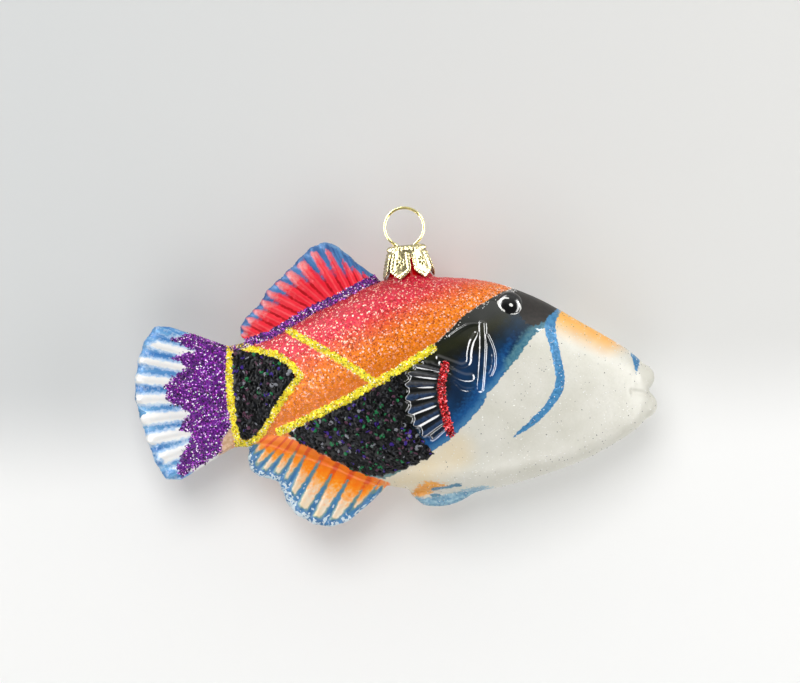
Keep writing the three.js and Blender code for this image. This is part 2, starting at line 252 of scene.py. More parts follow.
# Painted and glittered areas, as outlines in the side view
MASK = [
    (42, 21), (31, 27), (29.2, 24.2), (26.2, 23.2), (22.5, 21), (18.8, 18.8), (15.8, 16.5),
    (13, 13.5), (8.8, 9.8), (5.2, 7), (2, 4.5), (-4.8, 0), (-12.2, -4), (-20.5, -8.2),
    (-26.6, -11.6), (-24, -14.4), (-17.8, -17.4), (-11.6, -20.8), (-4.2, -23.4), (0.5, -21.8),
    (5.2, -18.5), (8.8, -16.5), (12.5, -14.2), (16.8, -10.2), (20, -6.6), (21.8, -4.4),
    (22.5, -2.2), (24.5, -0.2), (26.2, 2), (28.8, 5), (31.2, 8.2), (34, 12.1), (36.9, 14.5),
    (38.6, 15.6), (40.9, 18),
]
BROW = [
    (28.6, 24.6), (31, 27.5), (41.5, 21), (40.3, 18.4), (38.8, 16.9), (36.8, 15.9), (34.4, 14.9),
    (32.6, 15.1), (31.6, 16.4), (30, 19),
]
BRIDLE = [
    (41.2, 20), (39.9, 17), (39.7, 14.6), (39.9, 12.1), (40.8, 8.2), (41.8, 3.5), (41.9, 0.2),
    (41.2, -2.2), (38.8, -5.5), (35.5, -9), (32, -11.4), (28.6, -13.4), (30.6, -11.2), (33, -9),
    (36.5, -5.5), (38.3, -2.8), (39.6, 0.2), (39.6, 3), (38.8, 6.8), (37.8, 10.8), (36.9, 14.5),
    (37.6, 17),
]
TRUNK = [
    (-43, 10.5), (-42.5, 3), (-41.5, -16), (-27.5, -13.2), (-25, -12.6), (-20.5, -8), (-12.2, -3.9),
    (-4.8, 0.2), (2, 4.7), (8.8, 9.6), (13, 13.4), (15.8, 16.4), (18.8, 18.7), (22.5, 20.9),
    (26.2, 23.1), (29.2, 24.4), (31, 30), (16, 33), (-8, 38),
]
WEDGE = [
    (-40.6, 9.8), (-38.6, 8.6), (-34.3, 8.1), (-29.8, 6.6), (-25, 2.6), (-27.4, -1.6),
    (-30.8, -7), (-33.8, -11.6), (-36.6, -13.6), (-40, -14.4), (-40.4, -11.2), (-41.3, -4.8),
    (-41.4, 3.8),
]
FLANK_FLAKES = [
    (-27.2, -12), (-20.5, -8.6), (-12.2, -4.4), (-4.8, -0.5), (1.6, 3.9), (1.3, 1.2),
    (1.3, -3.8), (2.6, -8.8), (5.4, -12.8), (9.4, -16.9), (5.2, -19.3), (0.5, -21.2),
    (-3.9, -22.8), (-7.4, -22.2), (-11.6, -20.8), (-17.8, -17.6), (-22.4, -15.2), (-25.8, -13.2),
]
PURPLE_PATCH = [
    (-41, 11), (-46.8, 12.8), (-50.8, 13.4), (-53, 12.6), (-56.4, 11.4), (-53, 9.8), (-50.8, 8.5),
    (-53.6, 7.8), (-56.6, 6.8), (-54.2, 5.6), (-52.2, 4), (-54.2, 3.2), (-56.2, 2.2), (-56.6, 1),
    (-58.2, -0.2), (-57.4, -2), (-57.6, -3.2), (-56.2, -5), (-54.2, -5.6), (-51.8, -7.2),
    (-53.4, -9), (-54.4, -11.2), (-52, -11.6), (-51.2, -12.2), (-51.8, -13.8), (-52.6, -15.2),
    (-53.8, -16.8), (-53.8, -18.2), (-54.8, -20.2), (-55, -22.2), (-54, -22.8), (-51.8, -21.6),
    (-48, -19.4), (-45.4, -17.6), (-43.9, -16.7), (-44, -15), (-43.5, -13.2), (-42.2, -11.4),
    (-41, -9.8),
]
BARE_PATCH = [(-44.6, -17.6), (-46, -14.4), (-45, -11), (-41.6, -9.4), (-40.4, -14.8), (-42, -16.8)]
PELVIC_SPOT = [
    (3, -27.6), (5, -25.4), (7.6, -24), (10.6, -24.4), (13, -25.2), (9.8, -26.2), (6.4, -28),
]
PELVIC_BAND = [
    (4.5, -28.2), (8, -27.9), (12, -27.4), (16, -26.4), (20, -25.4), (24, -25.6), (20, -28.4),
    (14, -31.5), (6, -31.5),
]
DORSAL_AREA = [
    (-41.5, 9), (-31, 13.1), (-22.8, 18.1), (-16, 21.3), (-9.2, 24.9), (-4.4, 27.1), (-4, 40),
    (-30, 40), (-44, 18),
]
ANAL_AREA = [
    (-37.8, -13.8), (-31, -12.6), (-27.5, -13), (-22.4, -14.8), (-16, -18.6), (-11.6, -20.6),
    (-4.8, -23.2), (-1.8, -24.6), (-3, -40), (-40, -40),
]
TAIL_AREA = [
    (-42, 12), (-42.2, 9), (-41.6, -9), (-39.9, -15), (-42, -22), (-50, -34), (-72, -30), (-72, 24),
]
MASK_EDGE = MASK[15:]  # the mask's lower edge, against the white
SNOUT_TOUCH = [(58.3, 8.2), (60.8, 6.6), (60.4, 4.6), (59.8, 2.3), (59.2, 5)]
TAIL_TOUCH = [(-65.6, -5.4), (-62.5, -6.9), (-63.4, -7.4), (-64.9, -9), (-65.3, -7)]
# Lines that a soft tone spreads out from
SPREADS = {
    "blush": [(40.6, 19.5), (48, 16), (53, 13.6)],
    "belly_blush": [(-2, -27), (8, -21), (15, -16.5)],
    "glow": smooth_path([(12, -9), (15, -3.5), (17.5, 5), (21, 5), (26.5, 7.5), (30, 11)]),
    "olive": [(27, 16.5), (19, 13), (8, 7.5), (4, 3)],
}
# Rims inside the mask's lower edge: how far in they reach, the x where they end, and which way from it
MASK_RIMS = {"low_rim": (3.6, 27.5, -0.7), "front_rim": (2.2, 27, 1), "rear_rim": (3.4, 4, -1)}
# Brush strokes, as points with their half widths; the eye's are its white ring and a white dot that is a
# painted highlight
TAIL_EDGE_STROKE = [(-65.6, -1.6, 0.25), (-65.4, -4, 0.25), (-64.9, -7, 0.25)]
EYE_STROKES = [
    [(27.9, 21.72, 0.13), (26.9, 21.83, 0.2), (25.97, 21.3, 0.3), (25.25, 20.55, 0.42),
     (25.35, 19.7, 0.46), (26.05, 18.85, 0.42), (26.7, 18.5, 0.34)],
    [(30.15, 20.95, 0.12), (30.7, 20.05, 0.2), (30.98, 19.05, 0.22), (30.65, 18.05, 0.2),
     (29.6, 17.72, 0.18), (28.6, 17.62, 0.26)],
    # The white dot: a painted highlight
    [(28.4, 20.12, 0.36), (28.65, 19.95, 0.34)],
]
# Lines of glitter, and the thin brush marks on the pelvic fin: half width, then points
LINES = {
    "yellow": [
        (0.85, [(-27, 13.6), (-16, 7.4), (-5.8, 0.9)]),
        (0.95, [(-29.4, -11.6), (-20.5, -7.5), (-12.2, -3.4), (-4.8, 0.8), (2.2, 4.9), (8.9, 9.2)]),
        (0.8, [(-41.7, 9.4), (-41.9, 1.8), (-41.4, -5), (-40.4, -11.2), (-39.4, -14.9)]),
        (0.8, [(-39.4, 9.7), (-34.6, 8.6), (-29.8, 7.4), (-26.8, 5.2), (-24.2, 2.4)]),
        (0.8, [(-24.2, 2.4), (-26.8, -1.2), (-30.2, -6), (-33.2, -11), (-36, -13.8), (-39.6, -14.9)]),
    ],
    "purple": [(1, [(-40.8, 9.4), (-31, 13), (-22.8, 18), (-16, 21.2), (-9.2, 24.8), (-4.4, 27)])],
    "red": [(1, [(12, 4.9), (11.1, 0.2), (11.5, -5), (13.4, -11.9)])],
    "pelvic": [(0.35, [(9, -26), (12, -25.6), (16, -24.9)]), (0.35, [(8.6, -27.5), (10.6, -27.4)])],
}
GLUE_WAVES = [(0.22, 1.9, 0.7, 0), (0.16, -1.1, 2.3, 1.3)]  # mm, turn for each mm in x and y, start
# The trunk's airbrushing turns from orange to red across a slanting line through this place
WARMTH = {"x": -9, "y": 9.5, "up": 0.87, "back": 0.42}
# How the red lacquer's edge drops to each side of the neck, and the line that glitter stays below
NECK_EDGE = {"droop": 0.1, "slope": 0.1, "gap": 0.2}


def warmth_at(x, y):
    """How far a place lies towards the red side, in millimetres."""
    return (y - WARMTH["y"]) * WARMTH["up"] - (x - WARMTH["x"]) * WARMTH["back"]


def line_depth(name, x, y):
    return np.max([half - distance_to(smooth_path(path), x, y) for half, path in LINES[name]], axis=0)


def glued_edge(x, y):
    """The glue runs unevenly: a slow wander of an area's edge, in millimetres."""
    return sum(size * np.sin(a * x + b * y + start) for size, a, b, start in GLUE_WAVES)


def flake_depth(x, y):
    rough = glued_edge(x, y)
    return np.maximum(depth_in(WEDGE, x, y), depth_in(FLANK_FLAKES, x, y)) + rough


# Relief of the glass: ribs, rays and rims stand out of the smooth body

# Gill folds: how high a crisp fold gets and how wide its slope, in mm at most, and how much of any
# height beyond that swells. Reach, slope and spread are shares of the fold's half width
FOLD = {"height": 0.42, "widest": 0.9, "swelling": 0.35, "reach": 1.2, "slope": 1.1, "spread": 2.4}
# The pectoral plate's height and its ridges, and the shares over which it rises at each border
PECTORAL = {
    "plate": 0.6, "ridge": 0.58, "ridges": 8, "scallop": 0.09,
    "root": (-0.1, 0.45), "margin": (-0.02, 0.07), "sides": (0, 0.03), "ridge_rise": (0, 0.5),
}
# The fins' ridges rise along the rays and fall past the margin, and a low power widens the grooves
FIN_RIDGES = {"rise": (0.3, 0.7), "end": 1.12, "fall": (0, 0.14), "groove_power": 0.6}
# Creases of the mouth: depth, width, points
MOUTH_CREASES = [
    (0.45, 0.8, [(59.2, -1.6), (62, -2), (66, -1.5)]),
    (0.15, 0.8, [(60.2, 5.6), (59.6, 1.6), (58.9, -1.8)]),
]
# Beds of glue under the glitter: height, and the depths inside the area over which they rise
GLUE_BEDS = {"lines": (0.3, (-0.2, 0.8)), "flakes": (0.45, (-0.3, 1))}


def rib(distance, half_width, height):
    """A crisp fold on a low swelling."""
    fold = min(height, FOLD["height"])
    swelling = FOLD["swelling"] * (height - fold) * bell(distance, FOLD["spread"] * half_width)
    slope = min(FOLD["widest"], FOLD["slope"] * half_width)
    return swelling + fold * ramp(FOLD["reach"] * half_width - distance, 0, slope)


def pectoral_relief(x, y):
    ray, out = fan(PECTORAL_RAYS, x, y)
    crest = 0.5 + 0.5 * np.cos(2 * math.pi * PECTORAL["ridges"] * ray)
    edge = 1 - PECTORAL["scallop"] * (1 - crest)
    plate = ramp(out, *PECTORAL["root"]) * ramp(edge - out, *PECTORAL["margin"])
    plate *= ramp(ray, *PECTORAL["sides"]) * ramp(1 - ray, *PECTORAL["sides"])
    return plate * (PECTORAL["plate"] + PECTORAL["ridge"] * crest * ramp(out, *PECTORAL["ridge_rise"]))


def gill_relief(x, y):
    folds = [rib(distance_to(smooth_path(path), x, y), half, height) for half, height, path in GILL_FOLDS]
    return np.max(folds, axis=0)


def fin_relief(x, y):
    total = 0
    for rays, _, _, count, ridge in FINS.values():
        ray, out = fan(rays, x, y)
        wave = np.cos(2 * math.pi * count * ray)
        sharp = np.where(wave > 0, wave, -np.abs(wave) ** FIN_RIDGES["groove_power"])
        inside = (ray > 0) & (ray < 1)
        fade = ramp(out, *FIN_RIDGES["rise"]) * ramp(FIN_RIDGES["end"] - out, *FIN_RIDGES["fall"])
        total = total + np.where(inside, ridge * sharp * fade, 0)
    return total


def mouth_relief(x, y):
    return -sum(
        depth * bell(distance_to(smooth_path(path), x, y), width) for depth, width, path in MOUTH_CREASES
    )


def glitter_relief(x, y):
    depths = {
        "lines": np.maximum(line_depth("yellow", x, y), line_depth("purple", x, y)),
        "flakes": flake_depth(x, y),
    }
    return sum(height * ramp(depths[bed], *rise) for bed, (height, rise) in GLUE_BEDS.items())


# Nodes, colours and small helpers


def colour(hex_value):
    """An sRGB hex value as linear RGBA."""
    parts = [int(hex_value[i : i + 2], 16) / 255 for i in (0, 2, 4)]
    return [p / 12.92 if p <= 0.04045 else ((p + 0.055) / 1.055) ** 2.4 for p in parts] + [1]


def add(tree, kind, inputs=None, out=0, **settings):
    """Adds a shader node, sets it up, joins or fills its inputs, and gives back one output."""
    node = tree.nodes.new("ShaderNode" + kind)
    for name, value in settings.items():
        setattr(node, name, value)
    for key, value in (inputs or {}).items():
        if isinstance(value, bpy.types.NodeSocket):
            tree.links.new(value, node.inputs[key])
        else:
            node.inputs[key].default_value = value
    return None if out is None else node.outputs[out]


def new_material(name):
    material = bpy.data.materials.new(name)
    material.use_nodes = True
    material.node_tree.nodes.clear()
    return material, material.node_tree


def coat(tree, inputs):
    """Gives a material its shader, with the sockets that set its finish."""
    add(tree, "OutputMaterial", {0: add(tree, "BsdfPrincipled", inputs)}, out=None)


def placed(name, data):
    item = bpy.data.objects.new(name, data)
    bpy.context.scene.collection.objects.link(item)
    return item


def piece(name, mesh, material, replaced=()):
    mesh.materials.clear()
    mesh.materials.append(material)
    item = placed(name, mesh)
    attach(item, "root")
    if replaced:
        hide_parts(*replaced)


def points_of(mesh):
    flat = np.empty(3 * len(mesh.vertices))
    mesh.vertices.foreach_get("co", flat)
    return flat.reshape(-1, 3)


def set_points(mesh, points):
    mesh.vertices.foreach_set("co", np.ascontiguousarray(points, np.float32).ravel())
    mesh.update()


def to_row(points):
    return (np.asarray(points) + np.array(ORIGIN)) * MM


def settle(mesh):
    """From the mould's frame in millimetres to the row's frame in metres."""
    set_points(mesh, to_row(points_of(mesh)))


def to_mesh(bm, name):
    mesh = bpy.data.meshes.new(name)
    bm.to_mesh(mesh)
    bm.free()
    return mesh


def write_field(mesh, name, values):
    layer = mesh.attributes.new(name, "FLOAT", "POINT")
    layer.data.foreach_set("value", np.ascontiguousarray(values, np.float32))


def shade_smooth(mesh):
    mesh.polygons.foreach_set("use_smooth", np.ones(len(mesh.polygons), bool))


def fitting(bm, name):
    """A shape made upright over the crown, leant as the crown leans and set down in the row's frame."""
    bmesh.ops.transform(bm, matrix=leaning, verts=bm.verts)
    mesh = to_mesh(bm, name)
    settle(mesh)
    shade_smooth(mesh)
    return mesh


# The fused glass skin

RIM = {"least": 0.3, "power": 6, "bulge": 0.02}  # how a fin thins to its edge, and how round the edge is
LIP_DEPTH = 0.85  # of the lip's radius, from top to bottom
# Voxels and seam in mm, the cuts and smoothing passes of the fine areas, and how soon relief is in full
SKIN = {"voxel": 0.6, "cuts": 2, "passes": 4, "facing": 1.6, "seam": 0.16, "seam_half": 0.5}


def body_lobe():
    bm = bmesh.new()
    bmesh.ops.create_uvsphere(bm, u_segments=120, v_segments=130, radius=1)
    mesh = to_mesh(bm, "body")
    ball = points_of(mesh)
    t = 1 - np.arccos(np.clip(ball[:, 2], -1, 1)) / math.pi
    round_x, round_y = ball[:, 0], ball[:, 1]
    reach = np.hypot(round_x, round_y)
    pole = reach < 1e-6
    reach = np.maximum(reach, 1e-9)
    x, middle, tall, half = sections(t)
    power = 2 / SECTION_POWER
    up = np.sign(round_x) * np.abs(round_x / reach) ** power
    across = np.sign(round_y) * np.abs(round_y / reach) ** power
    up[pole] = 0
    across[pole] = 0
    set_points(mesh, np.column_stack((x, middle + up * tall, across * half)))
    return mesh


def rim(share):
    """How much of a fin's thickness is left at a share of the way to its edge."""
    return RIM["least"] + (1 - RIM["least"]) * np.sqrt(np.clip(1 - share ** RIM["power"], 0, 1))


def fin_lobe(rays, foot, margin):
    bm = bmesh.new()
    bmesh.ops.create_cube(bm, size=2)
    bmesh.ops.subdivide_edges(bm, edges=bm.edges[:], cuts=55, use_grid_fill=True)
    mesh = to_mesh(bm, "fin")
    box = points_of(mesh)
    along = (box[:, 0] + 1) / 2
    out = np.sin((box[:, 1] + 1) * math.pi / 4)
    rays = np.asarray(rays)
    feet, tips = spline(rays[:, :2], along), spline(rays[:, 2:], along)
    bulge = np.where(box[:, 1] > 0.999, RIM["bulge"] * (1 - box[:, 2] ** 2), 0)
    spot = feet + (tips - feet) * (out + bulge)[:, None]
    thick = (foot + (margin - foot) * out) * rim(np.abs(2 * along - 1)) * rim(out)
    set_points(mesh, np.column_stack((spot, box[:, 2] * thick)))
    return mesh


def lip_lobe(x, y, radius, across):
    bm = bmesh.new()
    bmesh.ops.create_uvsphere(bm, u_segments=40, v_segments=30, radius=1)
    bmesh.ops.scale(bm, vec=(radius, radius * LIP_DEPTH, across), verts=bm.verts)
    bmesh.ops.translate(bm, vec=(x, y, 0), verts=bm.verts)
    return to_mesh(bm, "lip")


def spun(profile, steps):
    """A closed turned shape about the crown's leaning axis, from radius and height."""
    bm = bmesh.new()
    rings = [bm.verts.new((radius, height, 0)) for radius, height in profile]
    edges = [bm.edges.new(pair) for pair in zip(rings[:-1], rings[1:])]
    bmesh.ops.spin(
        bm, geom=rings + edges, cent=(0, 0, 0), axis=(0, 1, 0), steps=steps,
        angle=2 * math.pi, use_merge=True, use_duplicate=False,
    )
    return bm


def neck_lobe():
    bm = spun(NECK_PROFILE, 64)
    bmesh.ops.holes_fill(bm, edges=bm.edges)
    bmesh.ops.recalc_face_normals(bm, faces=bm.faces)
    bmesh.ops.transform(bm, matrix=leaning, verts=bm.verts)
    return to_mesh(bm, "neck")


def joined(meshes, name):
    bm = bmesh.new()
    for mesh in meshes:
        bm.from_mesh(mesh)
        bpy.data.meshes.remove(mesh)
    return to_mesh(bm, name)


def evaluated(mesh, name, modifiers):
    """A mesh with modifiers applied, given as (kind, settings)."""
    item = placed(name, mesh)
    for kind, settings in modifiers:
        modifier = item.modifiers.new(kind.lower(), kind)
        for key, value in settings.items():
            setattr(modifier, key, value)
    bpy.context.view_layer.update()
    graph = bpy.context.evaluated_depsgraph_get()
    result = bpy.data.meshes.new_from_object(item.evaluated_get(graph))
    bpy.data.objects.remove(item)
    bpy.data.meshes.remove(mesh)
    result.name = name
    return result


def refine(mesh, wanted):
    """Splits the skin's faces where the relief is fine, and evens out the steps of the old faces."""
    bm = bmesh.new()
    bm.from_mesh(mesh)
    bm.verts.ensure_lookup_table()
    chosen = [e for e in bm.edges if wanted[e.verts[0].index] and wanted[e.verts[1].index]]
    split = bmesh.ops.subdivide_edges(bm, edges=chosen, cuts=SKIN["cuts"], use_grid_fill=True)
    fine = [g for g in split["geom_inner"] if isinstance(g, bmesh.types.BMVert)]
    for _ in range(SKIN["passes"]):
        bmesh.ops.smooth_vert(
            bm, verts=fine, factor=0.5, use_axis_x=True, use_axis_y=True, use_axis_z=True,
        )
    bm.to_mesh(mesh)
    bm.free()


def fine_area(points):
    """Where the skin needs small faces: pectoral fins, gill folds and mouth, clear of the seam."""
    x, y = drawn(points)
    ray, out = fan(PECTORAL_RAYS, x, y)
    fins = (out > -0.1) & (out < 1.1) & (ray > 0) & (ray < 1)
    gill = np.min([distance_to(path, x, y) - half for half, _, path in GILL_FOLDS], axis=0) < 0.7
    mouth = (x > 58) & (np.abs(y + 1.7) < 1.5)
    return (fins | gill | mouth) & (np.abs(points[:, 2]) > 0.25)


def skin_mesh():
    lobes = [body_lobe(), neck_lobe()] + [lip_lobe(*sizes) for sizes in LIPS]
    lobes += [fin_lobe(*sizes[:3]) for sizes in FINS.values()]
    blend = ("SMOOTH", {"factor": 0.5, "iterations": 8})
    voxels = ("REMESH", {"mode": "VOXEL", "voxel_size": SKIN["voxel"]})
    mesh = evaluated(joined(lobes, "lobes"), "glass_skin", [voxels, blend])
    refine(mesh, fine_area(points_of(mesh)))
    points = points_of(mesh)
    normals = np.empty(3 * len(points))
    mesh.vertex_normals.foreach_get("vector", normals)
    normals = normals.reshape(-1, 3)
    x, y = drawn(points)
    relief = pectoral_relief(x, y) + gill_relief(x, y) + fin_relief(x, y)
    relief = relief + mouth_relief(x, y) + glitter_relief(x, y)
    facing = np.clip(np.abs(normals[:, 2]) * SKIN["facing"], 0, 1)
    seam = SKIN["seam"] * bell(points[:, 2], SKIN["seam_half"]) * (1 - facing)
    points = points + normals * (relief * facing + seam)[:, None]
    points[:, 2] = np.maximum(points[:, 2], TABLE)
    set_points(mesh, points)
    shade_smooth(mesh)
    return mesh


# Strokes brushed into the grooves between a fin's rays: the first and last groove, the shares of the
# way out where they start from groove to groove, and their half widths there and at the margin
GROOVE_STROKES = {
    "tail": (1, 9, (0.62, 0.4, 0.3, 0.4, 0.62), 0.75, 1.5),
    "dorsal": (0, 13, (0.85, 0.8, 0.74, 0.7, 0.48, 0.58, 0.7), 0.1, 1.35),
    "anal": (0, 11, (0.5, 0.36, 0.3, 0.38, 0.5), 0.2, 1.45),
}
# Bands brushed along a margin: the shares of the way across the fan, and the half widths there
MARGIN_BANDS = {
    "dorsal": ((0.3, 0.5, 0.65, 0.78, 1), (0.2, 0.5, 1.3, 1.9, 0.8)),
    "anal": ((0.02, 0.1, 0.5, 0.8, 1), (0.3, 1.5, 2.8, 2.1, 1.4)),
    "tail": ((0.05, 0.5, 1), (0.3, 0.3, 0.3)),
}
MARGIN_LINE = 1.03  # the share of the way out along which the bands run
# How the hand varies a stroke's start and its width, and the share of the way out where it ends
HAND = {"seed": 3, "start": 0.06, "width": (0.75, 1.15), "end": 1.1}
TAIL_CORNERS = [
    [(-63.8, 9, 0.8), (-62.4, 12.2, 2.2), (-58.4, 13.9, 2.3), (-52, 13.4, 1)],
    [(-61.2, -17, 0.6), (-57.6, -22.2, 1.8), (-51, -22.8, 1)],
]


def fin_strokes(name, hand):
    """A fin's brush strokes, uneven in length and width, and the band along its margin."""
    rays, _, _, count, _ = FINS[name]
    first, last, starts, tip, margin = GROOVE_STROKES[name]
    grooves = np.arange(first, last + 1)
    starts = np.interp(grooves, np.linspace(first, last, len(starts)), starts)
    strokes = []
    for groove, start in zip(grooves, starts + hand.uniform(-HAND["start"], HAND["start"], len(grooves))):
        wide = hand.uniform(*HAND["width"])
        ends = ((start, tip), (HAND["end"], margin))
        share = (groove + 0.5) / count
        strokes.append([(*ray_point(rays, share, out), wide * half) for out, half in ends])
    shares, halves = MARGIN_BANDS[name]
    band = np.linspace(shares[0], shares[-1], 24)
    strokes.append([(*ray_point(rays, s, MARGIN_LINE), np.interp(s, shares, halves)) for s in band])
    return strokes


def fields(x, y):
    """Everything the lacquer's shader reads, in millimetres or as shares."""
    outlines = {
        "mask": (MASK, 3),
        "brow": (BROW, 3),
        "trunk": (TRUNK, 1),
        "purple_patch": (PURPLE_PATCH, 1),
        "bare_patch": (BARE_PATCH, 3),
        "pelvic_spot": (PELVIC_SPOT, 3),
        "pelvic_band": (PELVIC_BAND, 1),
        "dorsal_area": (DORSAL_AREA, 1),
        "anal_area": (ANAL_AREA, 1),
        "tail_area": (TAIL_AREA, 1),
    }
    found = {
        name: depth_in(smooth_path(points + points[:1], steps), x, y)
        for name, (points, steps) in outlines.items()
    }
    hand = np.random.default_rng(HAND["seed"])
    for name in GROOVE_STROKES:
        found[name + "_strokes"] = stroke_depth(fin_strokes(name, hand), x, y)
    found["tail_strokes"] = np.maximum(found["tail_strokes"], stroke_depth(TAIL_CORNERS, x, y))
    touches = [stroke_depth([TAIL_EDGE_STROKE], x, y)]
    for outline in (smooth_path(BRIDLE, 3).tolist(), SNOUT_TOUCH, TAIL_TOUCH):
        touches.append(depth_in(outline, x, y))
    fin_ray, fin_out = np.zeros(len(x)), np.zeros(len(x))
    for rays, _, _, count, _ in FINS.values():
        ray, out = fan(rays, x, y)
        within = (ray > 0) & (ray < 1) & (out > -0.2)
        fin_ray = np.where(within, ray * count, fin_ray)
        fin_out = np.where(within, out, fin_out)
    crown_x, crown_y = x - CROWN.x, y - CROWN.y
    leant_y = crown_y * math.cos(CROWN_LEAN) - crown_x * math.sin(CROWN_LEAN)
    from_edge = distance_to(smooth_path(MASK_EDGE, 3), x, y)
    # Less than 0 outside the mask, where no other part of its outline is nearer
    from_edge *= np.where((found["mask"] < 0) & (from_edge + found["mask"] < 0.3), -1, 1)
    crest = pectoral_relief(x, y)
    found |= {name + "_line": line_depth(name, x, y) for name in LINES}
    found |= {name: -distance_to(line, x, y) for name, line in SPREADS.items()}
    for name, (reach, end, way) in MASK_RIMS.items():
        found[name] = np.minimum(reach - from_edge, way * (x - end))
    found |= {
        "flakes": flake_depth(x, y),
        "touches": np.max(touches, axis=0),
        "from_edge": from_edge,
        "neck": leant_y - NECK_EDGE["droop"] * np.abs(crown_x),
        "crest": crest,
        "upper_crest": crest * ramp(y, -4, 1),
        "warmth": warmth_at(x, y),
        "fin_ray": fin_ray,
        "fin_out": fin_out,
    }
    return found


